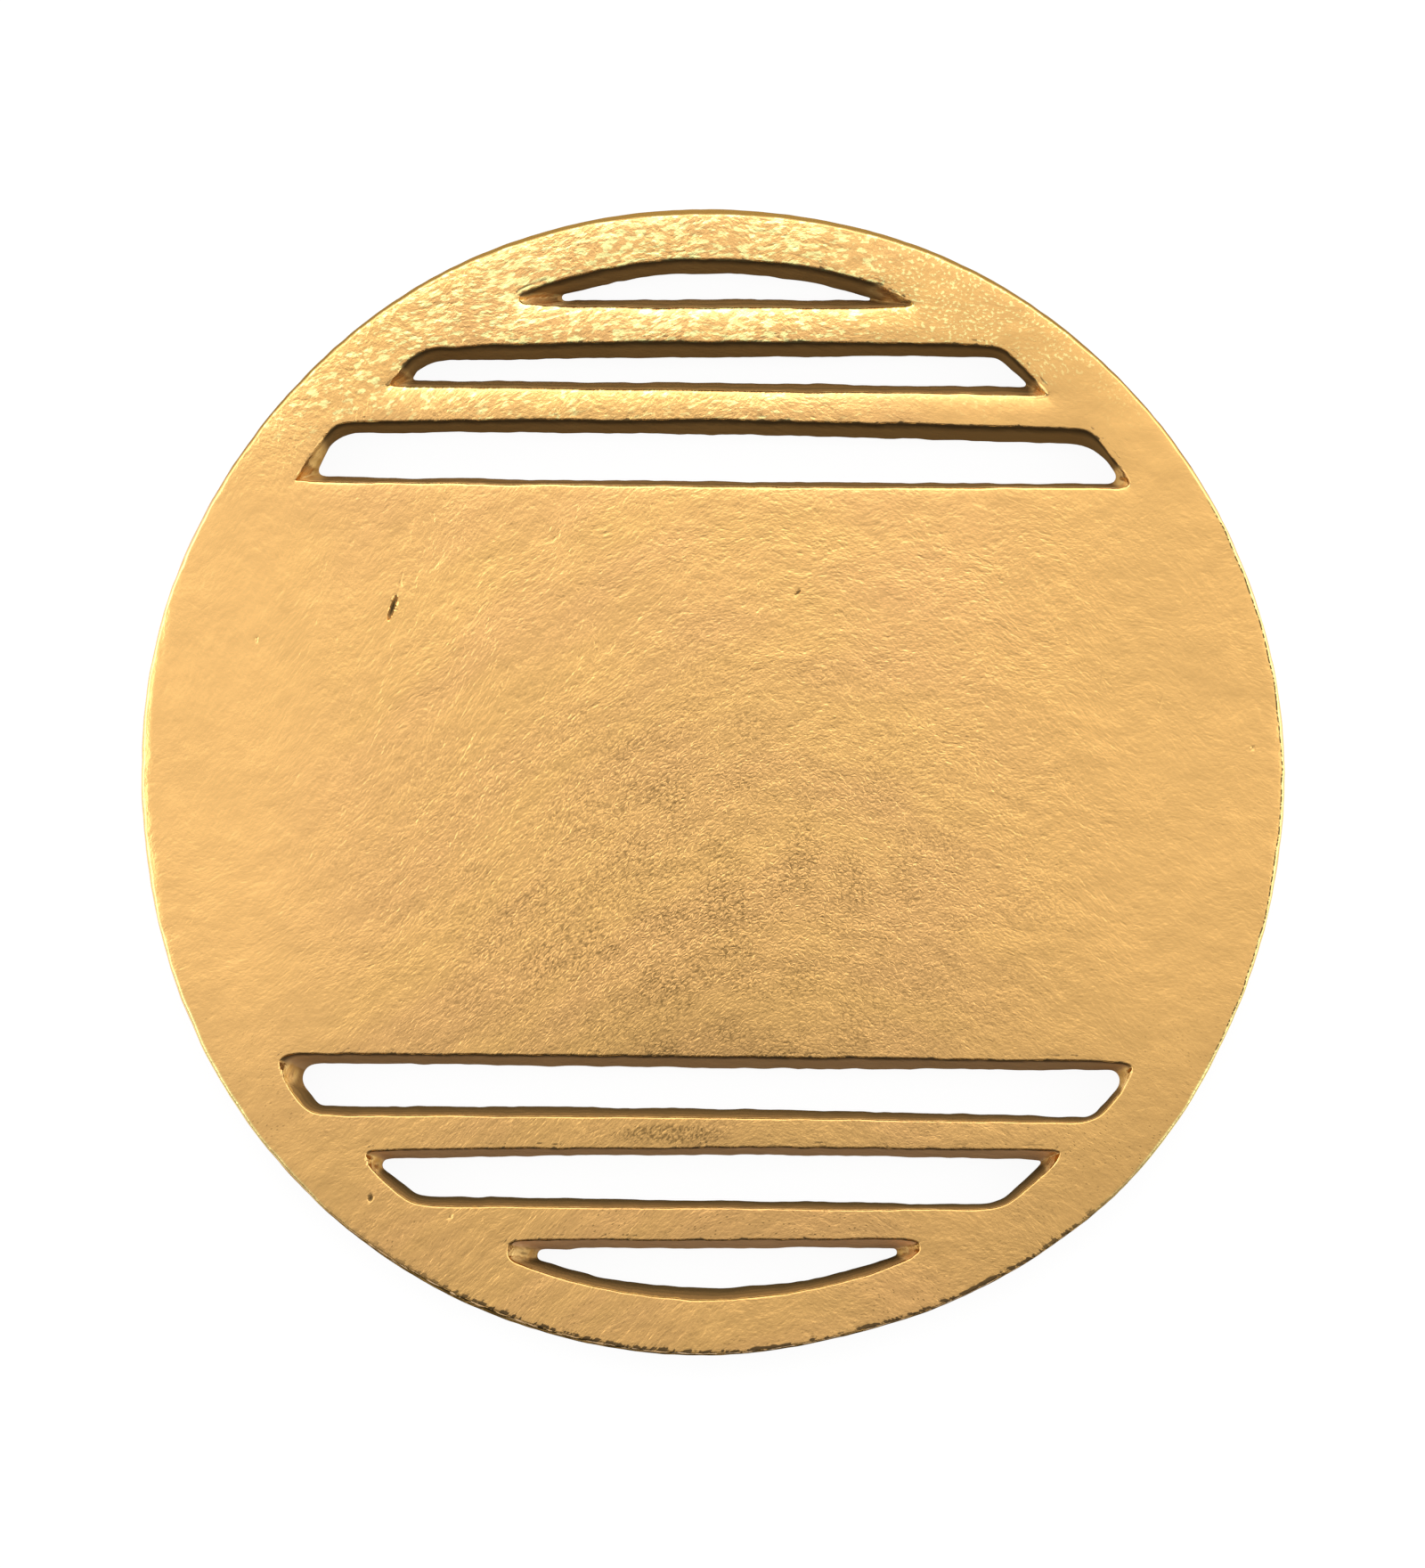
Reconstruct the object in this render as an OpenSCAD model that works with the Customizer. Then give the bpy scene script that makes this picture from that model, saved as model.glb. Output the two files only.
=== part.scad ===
// Round trivet: a sand-cast plate with six slots, standing on four screwed-on rubber feet.
// The slots are stripes that a circle inside the rim clips. Their edges were cut by hand in the
// pattern, so they wander by a few tenths, and their walls lean so that the cast leaves the sand.
// The origin is under the plate's centre, on the surface that the feet stand on. +Z is up, and
// +Y points to the slots of the upper group.

/* [Plate] */
// Diameter of the plate at its back face
plate_d = 203; // [160:1:300]
// Thickness of the casting
plate_t = 8; // [6:0.5:14]
// Width of the rim outside the slots, at the front face
rim_w = 9.6; // [8:0.1:16]
// How far the outer wall leans in from the back to the front
rim_lean = 1.1; // [0.2:0.1:2]
// Radius on the outer front edge
rim_edge_r = 0.4; // [0.2:0.1:1]

/* [Slots] */
// Height of the upper lens-shaped slot at its middle
upper_lens_w = 8.6; // [7:0.1:14]
// Width of the middle slot of the upper group
upper_middle_w = 9.4; // [7:0.1:14]
// Width of the slot of the upper group that borders the field
upper_inner_w = 12.2; // [8:0.1:16]
// Height of the lower lens-shaped slot at its middle
lower_lens_w = 10.7; // [7:0.1:14]
// Width of the middle slot of the lower group
lower_middle_w = 11.5; // [7:0.1:14]
// Width of the slot of the lower group that borders the field
lower_inner_w = 11.8; // [8:0.1:16]
// Width of the bar between a lens and its middle slot
outer_bar_w = 5.4; // [4:0.1:8]
// Width of the bar between the other two slots of a group
inner_bar_w = 4.5; // [4:0.1:8]
// How far a slot's upper wall leans in from the front to the back
upper_lean = 2.3; // [0.5:0.1:2.5]
// How far a slot's lower wall leans in from the front to the back
lower_lean = 1.6; // [0.5:0.1:2.5]
// How far a slot's end walls lean in from the front to the back
end_lean = 2; // [0.5:0.1:2.5]
// Radius of the corners on a slot's long outer edge
far_corner_r = 5.5; // [2:0.5:6]
// Radius of the corners on a slot's long inner edge
near_corner_r = 1.2; // [0.5:0.1:1.5]
// Radius on the front edges of the slots
mouth_edge_r = 0.6; // [0.2:0.1:1]

/* [Feet] */
// Diameter of a foot where it meets the plate
foot_d = 11; // [10:0.5:12]
// Height of a foot
foot_h = 5.5; // [5:0.5:12]
// How much narrower a foot's radius is where it stands
foot_taper = 0.4; // [0:0.1:0.5]
// Radius on a foot's standing edge
foot_edge_r = 0.6; // [0.2:0.1:0.8]
// Depth of the seat that the foot sits in, in the plate's back
seat_depth = 0.5; // [0.2:0.1:1]
// Distance from the plate's edge in to a foot's centre
foot_inset = 7; // [6.5:0.1:7.5]
// Angle of the feet from the X axis
foot_angle = 46; // [45:0.5:47]
// Depth of the recess for the washer and the screw's head
recess_depth = 3.3; // [3:0.1:4]

/* [Fasteners] */
// Diameter of the screw's thread
screw_d = 3; // [2.5:0.5:4]
// Length of the screw under its head
screw_l = 6; // [5:0.5:8]
// Diameter of the screw's pan head
head_d = 5.6; // [5:0.1:6.5]
// Height of the screw's head
head_h = 2.2; // [1.6:0.1:2.4]
// Radius on the head's outer edge
head_edge_r = 0.9; // [0.3:0.1:1.2]
// Length of each arm pair of the cross recess
drive_l = 3; // [2:0.1:3.5]
// Width of the arms of the cross recess
drive_w = 0.7; // [0.4:0.1:1]
// Depth of the cross recess
drive_depth = 1.1; // [0.5:0.1:1.4]
// Outer diameter of the washer
washer_d = 7; // [6.6:0.1:8]
// Thickness of the washer
washer_t = 0.5; // [0.3:0.1:0.8]

/* [Clearances] */
// Radial gap between the screw and the tapped hole
thread_gap = 0.05; // [0.02:0.01:0.1]
// Radial gap between the screw and the washer
washer_gap = 0.1; // [0.05:0.05:0.3]
// Radial gap between the screw and the foot's hole
shank_gap = 0.2; // [0.1:0.05:0.4]
// Radial gap between the washer and the foot's recess
recess_gap = 0.3; // [0.1:0.05:0.5]
// Radial gap between the foot and its seat
seat_gap = 0.15; // [0.1:0.05:0.4]
// Depth of the tapped hole past the screw's end
hole_spare = 0.8; // [0.3:0.1:2]

/* [Hidden] */
CORNERS = ["back_left", "back_right", "front_left", "front_right"];

// How far each cutting shape runs past the surface that it cuts
overrun = 1;
// Angle at the tip of the drill that made the tapped holes
drill_tip_angle = 118;
// Steps along a slot's long edge, along its end, round a corner and over its front edge
edge_steps = 12;
end_steps = 3;
corner_steps = 6;
lip_steps = 3;
// Facets of a full turn
turn_facets = 120;

// Heights: the table at zero, then the washer's seat, the plate's back and its front
washer_top = recess_depth;
washer_base = washer_top - washer_t;
plate_back = foot_h - seat_depth;
plate_front = plate_back + plate_t;
plate_r = plate_d / 2;
foot_ring_r = plate_r - foot_inset;

// The circle that clips the slots, and the slots' edges at the front, from the rim inwards.
// A height is measured away from the plate's centre line, up in the upper group and down in the
// lower one, so an edge is near or far as it lies nearer to the centre or further out.
clip_r = plate_r - rim_w;
upper_lens_near = clip_r - upper_lens_w;
upper_middle_far = upper_lens_near - outer_bar_w;
upper_middle_near = upper_middle_far - upper_middle_w;
upper_inner_far = upper_middle_near - inner_bar_w;
upper_inner_near = upper_inner_far - upper_inner_w;
lower_lens_near = clip_r - lower_lens_w;
lower_middle_far = lower_lens_near - outer_bar_w;
lower_middle_near = lower_middle_far - lower_middle_w;
lower_inner_far = lower_middle_near - inner_bar_w;
lower_inner_near = lower_inner_far - lower_inner_w;

// One row for each slot: inner, middle and lens of the upper group, then of the lower group.
// lens_index is the place of the lens in its group, and group_count is where the lower group starts.
lens_index = 2;
group_count = 3;
near_heights = [
    upper_inner_near, upper_middle_near, upper_lens_near,
    lower_inner_near, lower_middle_near, lower_lens_near,
];
far_heights = [
    upper_inner_far, upper_middle_far, clip_r,
    lower_inner_far, lower_middle_far, clip_r,
];

// Hand-cut unevenness, as shares of the inner bar's width. A row gives how far an edge lies
// outside its height at the slot's left end, at its middle and at its right end.
near_mouth_shares = [
    [0.2, 0, -0.05], [0.2, 0.05, -0.15], [0.1, 0, 0.05],
    [-0.1, 0, 0.2], [0.05, -0.05, 0.05], [-0.05, -0.05, -0.1],
];
near_back_shares = [
    [0.15, -0.05, -0.15], [0.2, 0.1, -0.05], [0.05, 0.1, 0.05],
    [-0.15, 0.05, 0.15], [0, -0.15, 0.05], [-0.2, -0.25, -0.25],
];
far_mouth_shares = [
    [0, 0.05, -0.3], [-0.15, 0.05, -0.1], [0, 0, 0],
    [-0.15, -0.05, 0.15], [-0.15, -0.05, 0], [0, 0, 0],
];
far_back_shares = [
    [0, -0.05, -0.45], [-0.25, -0.1, -0.1], [0, 0, 0],
    [-0.2, -0.1, 0.25], [-0.2, -0.05, 0.1], [0, 0, 0],
];
// How far the ends lie outside the clipping circle, as shares of the inner bar's width: near
// left, far left, far right and near right. A lens has its left, middle and right instead.
end_mouth_shares = [
    [-0.15, 0.05, -0.1, -0.15], [-0.25, 0.1, 0.15, -0.15], [0.25, 0.2, 0.25],
    [0.1, 0.15, -0.15, -0.2], [-0.25, 0.05, -0.05, -0.3], [0.05, -0.05, -0.05],
];
end_back_shares = [
    [-0.2, 0, 0, 0], [-0.2, -0.1, 0.1, 0], [0.05, 0, 0.05],
    [0, 0, -0.05, 0], [-0.05, -0.05, 0, -0.15], [0, -0.1, 0],
];
// Radii of the corners in the same order, as shares of the near or the far corner radius
corner_mouth_shares = [
    [0.4, 0.75, 0.65, 0.8], [0.4, 1.6, 1.45, 0.65], [1.3, 0, 0, 0.75],
    [2, 0.55, 1.05, 1.35], [1.3, 0.9, 1.25, 0.8], [1.75, 0, 0, 1.45],
];
corner_back_shares = [
    [0.8, 1.1, 1.35, 1.05], [0.35, 1.65, 0.8, 0.4], [0.5, 0, 0, 0.25],
    [2.35, 0.45, 0.65, 1.6], [0.9, 0.7, 1.45, 0.4], [0.9, 0, 0, 0.65],
];

// The most that a near corner may take of its slot's width
near_corner_share = 0.35;
// The corners in their order: near left, far left, far right, near right
near_left_index = 0;
far_left_index = 1;
far_right_index = 2;
near_right_index = 3;

// A value that runs through three values, at -1, 0 and 1
function bow(values, u) =
    values[1]
    + (values[2] - values[0]) / 2 * u
    + ((values[0] + values[2]) / 2 - values[1]) * u * u;

// Which tables and leans hold at the mouth and which at the back
function lean_of(slot, near) = (slot < group_count) == near ? lower_lean : upper_lean;
function near_height(slot, back, u) =
    near_heights[slot]
    + (back ? lean_of(slot, true) : 0)
    + inner_bar_w * bow((back ? near_back_shares : near_mouth_shares)[slot], u);
function far_height(slot, back, u) =
    far_heights[slot]
    - (back ? lean_of(slot, false) : 0)
    + inner_bar_w * bow((back ? far_back_shares : far_mouth_shares)[slot], u);
function end_radius(slot, back, share) =
    clip_r - (back ? end_lean : 0) + inner_bar_w * share;
function end_shares(slot, back) = (back ? end_back_shares : end_mouth_shares)[slot];
function corner_share(slot, back, corner) =
    (back ? corner_back_shares : corner_mouth_shares)[slot][corner];

// A corner is a circle that touches its edge and the end circle from inside. Each is given by
// its centre, its radius, the direction in which it touches the end, and the end's radius.
function touching(side, end_r, r, height) =
    let (
        x = side * sqrt(pow(end_r - r, 2) - pow(height, 2))
    )
    [[x, height], r, atan2(height, x), end_r];
function near_corner(slot, back, corner) =
    let (
        side = corner == near_left_index ? -1 : 1,
        share = end_shares(slot, back)[corner == near_left_index ? 0 : len(end_shares(slot, back)) - 1],
        end_r = end_radius(slot, back, share),
        height = near_height(slot, back, side),
        top = slot % group_count == lens_index ? end_r : far_height(slot, back, side),
        r = min(near_corner_r * corner_share(slot, back, corner), (top - height) * near_corner_share)
    )
    touching(side, end_r, r, height + r);
function far_corner(slot, back, corner) =
    let (
        side = corner == far_left_index ? -1 : 1,
        end_r = end_radius(slot, back, end_shares(slot, back)[corner]),
        height = far_height(slot, back, side),
        near = near_corner(slot, back, corner == far_left_index ? near_left_index : near_right_index),
        floor_height = near[0][1] + near[1],
        room = end_r * (height - floor_height) / (end_r - floor_height),
        r = min(far_corner_r * corner_share(slot, back, corner), room)
    )
    touching(side, end_r, r, height - r);

// Runs of points: round a corner, along an end or the lens's back, and along a long edge.
// Each grows outwards by grow, which rounds the front edge layer by layer.
function corner_run(corner, from, to, grow) = [
    for (i = [0 : corner_steps])
        let (a = from + (to - from) * i / corner_steps)
        corner[0] + (corner[1] + grow) * [cos(a), sin(a)]
];
function end_run(from, to, grow) = [
    for (i = [1 : end_steps - 1])
        let (
            t = i / end_steps,
            a = from[2] + (to[2] - from[2]) * t,
            r = from[3] + (to[3] - from[3]) * t + grow
        )
        r * [cos(a), sin(a)]
];
function lens_run(slot, back, from, to, grow) = [
    for (i = [1 : edge_steps - 1])
        let (
            t = i / edge_steps,
            a = from[2] + (to[2] - from[2]) * t,
            r = end_radius(slot, back, bow(end_shares(slot, back), t * 2 - 1)) + grow
        )
        r * [cos(a), sin(a)]
];
function far_run(slot, back, from, to, grow) = [
    for (i = [1 : edge_steps - 1])
        let (t = i / edge_steps)
        [from[0][0] + (to[0][0] - from[0][0]) * t, far_height(slot, back, t * 2 - 1) + grow]
];
function near_run(slot, back, from, to, grow) = [
    for (i = [1 : edge_steps - 1])
        let (t = i / edge_steps)
        [from[0][0] + (to[0][0] - from[0][0]) * t, near_height(slot, back, 1 - t * 2) - grow]
];

// A slot's outline, clockwise from its near left corner, as if it lay in the upper group
function lens_outline(slot, back, grow) =
    let (
        left = near_corner(slot, back, near_left_index),
        right = near_corner(slot, back, near_right_index)
    )
    concat(
        corner_run(left, 270, left[2], grow),
        lens_run(slot, back, left, right, grow),
        corner_run(right, right[2], -90, grow),
        near_run(slot, back, right, left, grow)
    );
function stripe_outline(slot, back, grow) =
    let (
        near_left = near_corner(slot, back, near_left_index),
        far_left = far_corner(slot, back, far_left_index),
        far_right = far_corner(slot, back, far_right_index),
        near_right = near_corner(slot, back, near_right_index)
    )
    concat(
        corner_run(near_left, 270, near_left[2], grow),
        end_run(near_left, far_left, grow),
        corner_run(far_left, far_left[2], 90, grow),
        far_run(slot, back, far_left, far_right, grow),
        corner_run(far_right, 90, far_right[2], grow),
        end_run(far_right, near_right, grow),
        corner_run(near_right, near_right[2], -90, grow),
        near_run(slot, back, near_right, near_left, grow)
    );
function slot_outline(slot, back, grow) =
    slot % group_count == lens_index ? lens_outline(slot, back, grow) : stripe_outline(slot, back, grow);
function layer(slot, back, grow, z) = [
    for (p = slot_outline(slot, back, grow)) [p[0], p[1], z]
];

// A closed skin over layers that have the same number of points
module skin(layers) {
    count = len(layers[0]);
    last = (len(layers) - 1) * count;
    polyhedron(
        points = [for (points = layers) each points],
        faces = [
            [for (i = [count - 1 : -1 : 0]) i],
            [for (i = [0 : count - 1]) last + i],
            for (level = [0 : len(layers) - 2], i = [0 : count - 1])
                let (a = level * count + i, b = level * count + (i + 1) % count)
                each [[a, b, b + count], [a, b + count, a + count]]
        ]
    );
}

// The shape that cuts one slot: straight below the back, leaning up to the front edge's
// radius, flaring over that radius and straight above the front
module slot_cutter(slot) {
    skin([
        layer(slot, true, 0, plate_back - overrun),
        layer(slot, true, 0, plate_back),
        for (i = [0 : lip_steps])
            let (a = 90 * i / lip_steps)
            layer(slot, false, mouth_edge_r * (1 - cos(a)), plate_front - mouth_edge_r * (1 - sin(a))),
        layer(slot, false, mouth_edge_r, plate_front + overrun),
    ]);
}

// Half the section of the unslotted plate: flat faces, a leaning wall and a rounded front edge
module plate_section() {
    lean = atan(rim_lean / plate_t);
    edge_z = plate_front - rim_edge_r;
    edge_x = plate_r - (rim_edge_r + (edge_z - plate_back) * sin(lean)) / cos(lean);
    translate([edge_x, edge_z]) circle(rim_edge_r);
    polygon([
        [0, plate_back],
        [plate_r, plate_back],
        [edge_x + rim_edge_r * cos(lean), edge_z + rim_edge_r * sin(lean)],
        [edge_x, edge_z],
        [edge_x, plate_front],
        [0, plate_front],
    ]);
}

// Puts a piece that is made on the Z axis at one corner of the plate
module at_corner(corner) {
    side_x = corner % 2 == 0 ? -1 : 1;
    side_y = corner < 2 ? 1 : -1;
    translate([
        side_x * foot_ring_r * cos(foot_angle),
        side_y * foot_ring_r * sin(foot_angle),
        0,
    ])
        children();
}

// What the machining takes from the plate's back at one foot: the seat and the tapped hole
module foot_cut() {
    hole_r = screw_d / 2 + thread_gap;
    hole_end = washer_base + screw_l + hole_spare;
    translate([0, 0, plate_back - overrun])
        cylinder(h = overrun + seat_depth, r = foot_d / 2 + seat_gap);
    translate([0, 0, plate_back - overrun])
        cylinder(h = hole_end - plate_back + overrun, r = hole_r);
    translate([0, 0, hole_end])
        cylinder(h = hole_r / tan(drill_tip_angle / 2), r1 = hole_r, r2 = 0);
}

module cast_plate() {
    color("#d9a85c")
    difference() {
        rotate_extrude($fn = turn_facets) plate_section();
        for (slot = [0 : group_count - 1]) slot_cutter(slot);
        for (slot = [group_count : len(near_heights) - 1]) mirror([0, 1, 0]) slot_cutter(slot);
        for (corner = [0 : len(CORNERS) - 1]) at_corner(corner) foot_cut();
    }
}

// A moulded rubber foot: it narrows downwards, stands on a ring with a rounded edge, and has a
// recess for the washer and the head
module foot() {
    top_r = foot_d / 2;
    base_r = top_r - foot_taper;
    hole_r = screw_d / 2 + shank_gap;
    recess_r = washer_d / 2 + recess_gap;
    color("#26221f")
    rotate_extrude($fn = turn_facets) {
        translate([base_r - foot_edge_r, foot_edge_r]) circle(foot_edge_r);
        polygon([
            [recess_r, 0],
            [base_r - foot_edge_r, 0],
            [base_r - foot_edge_r, foot_edge_r],
            [base_r, foot_edge_r],
            [top_r, foot_h],
            [hole_r, foot_h],
            [hole_r, recess_depth],
            [recess_r, recess_depth],
        ]);
    }
}

module washer() {
    color("#a9acae")
    translate([0, 0, washer_base])
        difference() {
            cylinder(h = washer_t, r = washer_d / 2);
            translate([0, 0, -overrun])
                cylinder(h = washer_t + 2 * overrun, r = screw_d / 2 + washer_gap);
        }
}

// A pan-head screw that points up: its shank, and its head with a cross recess below
module screw() {
    head_base = washer_base - head_h;
    color("#b9bcbe")
    difference() {
        union() {
            translate([0, 0, washer_base - head_edge_r])
                cylinder(h = screw_l + head_edge_r, r = screw_d / 2);
            rotate_extrude($fn = turn_facets) {
                translate([head_d / 2 - head_edge_r, head_base + head_edge_r]) circle(head_edge_r);
                polygon([
                    [0, head_base],
                    [head_d / 2 - head_edge_r, head_base],
                    [head_d / 2 - head_edge_r, head_base + head_edge_r],
                    [head_d / 2, head_base + head_edge_r],
                    [head_d / 2, washer_base],
                    [0, washer_base],
                ]);
            }
        }
        for (turn = [0, 90])
            translate([0, 0, head_base + (drive_depth - overrun) / 2])
                rotate([0, 0, turn])
                    cube([drive_l, drive_w, drive_depth + overrun], center = true);
    }
}

$fn = 48;
cast_plate();
for (corner = [0 : len(CORNERS) - 1]) {
    at_corner(corner) foot();
    at_corner(corner) washer();
    at_corner(corner) screw();
}
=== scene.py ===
# %% [markdown]
# # A round cast trivet, piece by piece
# The trivet is one flat casting with a gold-coloured finish. It stands on four rubber feet, and
# each foot is held by a screw and a washer. The solids of all these pieces exist at their real
# size, and this lesson dresses them. The casting gets most of the work: what makes metal look
# cast is its small unevenness, so its skin is built again as a finer mesh with wandering edges,
# soft hollows, pits and one crack. The small pieces follow after the casting's finish.
#
# The solids are loaded first and stay where they are. All places and sizes come from them.

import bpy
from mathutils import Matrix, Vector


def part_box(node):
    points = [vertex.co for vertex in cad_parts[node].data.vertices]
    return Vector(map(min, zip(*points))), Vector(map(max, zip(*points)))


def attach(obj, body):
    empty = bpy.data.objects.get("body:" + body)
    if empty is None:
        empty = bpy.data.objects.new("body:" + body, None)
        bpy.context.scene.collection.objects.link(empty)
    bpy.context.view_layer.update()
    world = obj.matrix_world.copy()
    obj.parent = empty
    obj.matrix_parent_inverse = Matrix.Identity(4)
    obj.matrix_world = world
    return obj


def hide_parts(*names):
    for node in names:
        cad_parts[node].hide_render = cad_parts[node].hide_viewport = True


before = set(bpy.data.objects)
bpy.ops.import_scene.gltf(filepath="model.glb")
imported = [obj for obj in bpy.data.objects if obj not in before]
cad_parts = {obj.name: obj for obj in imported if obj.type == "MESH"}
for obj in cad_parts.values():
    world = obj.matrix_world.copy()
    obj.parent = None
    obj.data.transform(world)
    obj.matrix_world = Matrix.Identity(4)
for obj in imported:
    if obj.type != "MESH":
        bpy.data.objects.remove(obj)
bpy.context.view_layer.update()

# %% The tools that the lesson uses
import math

import bmesh
import bpy
import numpy as np
from mathutils import Vector
from mathutils.geometry import delaunay_2d_cdt
from mathutils.kdtree import KDTree

MM = 0.001
bpy.context.scene.view_settings.view_transform = "Standard"

# %% [markdown]
# ## The camera
# The photograph looks straight down on the plate from far away: the walls of the slots at the top
# and at the bottom of the disc show alike, which a near camera can't do. A long lens from almost
# three metres gives that view. The disc's place in the photograph then fixes the rest.

# %% Place the camera above the plate
PHOTO_WIDE, PHOTO_HIGH = 1600, 1760  # the photograph, in pixels
DISC_X, DISC_Y, DISC_R = 798.9, 877.8, 644.1  # the disc in it, in pixels
CAMERA_ABOVE = 2.9  # from the plate's back to the lens, in metres

plate_low, plate_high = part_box("cast_plate")
plate_r = (plate_high.x - plate_low.x) / 2
pixel = plate_r / DISC_R


def at_x(x):
    """The plate's X in metres under a column of the photograph's pixels."""
    return (x - DISC_X) * pixel


def at_y(y):
    """The plate's Y in metres under a row of the photograph's pixels."""
    return (DISC_Y - y) * pixel


lens = bpy.data.cameras.new("long_lens")
lens.sensor_width = 36
lens.lens = lens.sensor_width * CAMERA_ABOVE / (PHOTO_HIGH * pixel)
camera = bpy.data.objects.new("camera", lens)
camera.location = (at_x(PHOTO_WIDE / 2), at_y(PHOTO_HIGH / 2), plate_low.z + CAMERA_ABOVE)
bpy.context.scene.collection.objects.link(camera)
bpy.context.scene.camera = camera
print("one pixel is", round(pixel / MM, 4), "mm, and the lens", round(lens.lens), "mm long")

# %% [markdown]
# ## Finishes as sums and products
# Every material below is a network of nodes, and a long network is hard to read when each wire
# takes a line. So an output of a node is held as a value that can be added, multiplied, compared
# and ramped. Each sign adds one Math node, and a finish reads like a formula.

# %% Values in a network of nodes
class Value:
    """One output of a node. Signs and methods add nodes that work on it."""

    def __init__(self, socket):
        self.socket = socket
        self.tree = socket.id_data

    def maths(self, operation, *others):
        sockets = dict(enumerate((self, *others)))
        return Value(add_node(self.tree, "Math", sockets, operation=operation).outputs[0])

    def __add__(self, other):
        return self.maths("ADD", other)

    def __sub__(self, other):
        return self.maths("SUBTRACT", other)

    def __rsub__(self, other):
        return Value(add_node(self.tree, "Math", {0: other, 1: self}, operation="SUBTRACT").outputs[0])

    def __mul__(self, other):
        return self.maths("MULTIPLY", other)

    def __abs__(self):
        return self.maths("ABSOLUTE")

    def at_least(self, other):
        """The greater of the two."""
        return self.maths("MAXIMUM", other)

    def ramp(self, start, end, low=0.0, high=1.0):
        """The value mapped smoothly from start..end to low..high, and held at both ends."""
        sockets = {"Value": self, "From Min": start, "From Max": end, "To Min": low, "To Max": high}
        return Value(add_node(self.tree, "MapRange", sockets, interpolation_type="SMOOTHSTEP").outputs[0])

    def vector(self, operation, *others, out=0):
        """Works on the value as a vector."""
        sockets = dict(enumerate((self, *others)))
        return Value(add_node(self.tree, "VectorMath", sockets, operation=operation).outputs[out])

    def parts(self):
        """A vector's X, Y and Z."""
        return [Value(part) for part in add_node(self.tree, "SeparateXYZ", {0: self}).outputs]

    def feed(self, socket):
        """Wires the value to a socket."""
        self.tree.links.new(self.socket, socket)


def add_node(tree, kind, sockets=None, **options):
    """Adds a node and returns it. A socket is given by its name or number."""
    made = tree.nodes.new("ShaderNode" + kind)
    for name, value in options.items():
        setattr(made, name, value)
    for name, value in (sockets or {}).items():
        if isinstance(value, Value):
            value.feed(made.inputs[name])
        else:
            made.inputs[name].default_value = value
    return made


# %% Mixes, patterns and new materials
# Numbers of the two inputs and the output, for each kind of mix
MIX_SOCKETS = {"FLOAT": (2, 3, 0), "VECTOR": (4, 5, 1), "RGBA": (6, 7, 2)}


def blend(share, first, second, kind="RGBA"):
    """A mix of two values of a kind, at share 0 the first and at 1 the second. Colours may be plain."""
    one, two, out = MIX_SOCKETS[kind]
    first, second = (side if isinstance(side, Value) else (*side, 1) for side in (first, second))
    made = add_node(share.tree, "Mix", {0: share, one: first, two: second}, data_type=kind)
    return Value(made.outputs[out])


def noise(place, per_metre, detail, out="Fac", dimensions="2D", **more):
    """Noise at a place. With two dimensions it doesn't change with the height."""
    sockets = {"Vector": place, "Scale": per_metre, "Detail": detail, **more}
    return Value(add_node(place.tree, "TexNoise", sockets, noise_dimensions=dimensions).outputs[out])


def cells(place, per_metre, **options):
    """Flat cells at a place, as a node with several outputs."""
    sockets = {"Vector": place, "Scale": per_metre}
    return add_node(place.tree, "TexVoronoi", sockets, voronoi_dimensions="2D", **options)


def point(x, y, z=0.0):
    """A vector from three values."""
    return Value(add_node(x.tree, "CombineXYZ", {0: x, 1: y, 2: z}).outputs[0])


def new_material(name):
    """An empty material, its nodes and the inputs of its Principled shader."""
    material = bpy.data.materials.new(name)
    material.use_nodes = True
    return material, material.node_tree, material.node_tree.nodes["Principled BSDF"].inputs


def place_in(tree):
    """Where each point lies, in metres."""
    return Value(add_node(tree, "TexCoord").outputs["Object"])


def bump(height, distance, socket):
    """Lets a height bend the light."""
    made = add_node(height.tree, "Bump", {"Height": height, "Distance": distance})
    Value(made.outputs["Normal"]).feed(socket)


# %% [markdown]
# ## The studio
# Polished metal shows what stands round it, so the studio is half of the finish. A wide soft
# source behind the plate's upper edge gives the bright flecks on every bump that faces it, and
# the sky darkens towards the near side, which draws the dark lines on the edges that face away.
# The floor is white and keeps the trivet's soft shadow.

# %% Sky
# How far a direction looks towards the picture's top, from -1 to 1, and how bright the sky is there
SKY_SIDES = (
    (-1.0, 0.05), (-0.7, 0.15), (-0.42, 0.55), (-0.2, 0.88), (0.0, 1.0), (0.15, 1.2), (0.35, 1.75),
    (0.6, 1.95), (1.0, 0.8),
)

world = bpy.data.worlds.new("studio_sky")
world.use_nodes = True
bpy.context.scene.world = world
sky = world.node_tree
_, towards_top, _ = Value(add_node(sky, "TexCoord").outputs["Generated"]).parts()
curve = add_node(sky, "ValToRGB", {"Fac": towards_top * 0.5 + 0.5})
stops = curve.color_ramp.elements
while len(stops) < len(SKY_SIDES):
    stops.new(0.5)
for stop, (side, level) in zip(stops, SKY_SIDES):
    stop.position = side / 2 + 0.5
    stop.color = (level, level, level, 1)
Value(curve.outputs["Color"]).feed(sky.nodes["Background"].inputs["Color"])
sky.nodes["Background"].inputs["Strength"].default_value = 1.0


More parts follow.
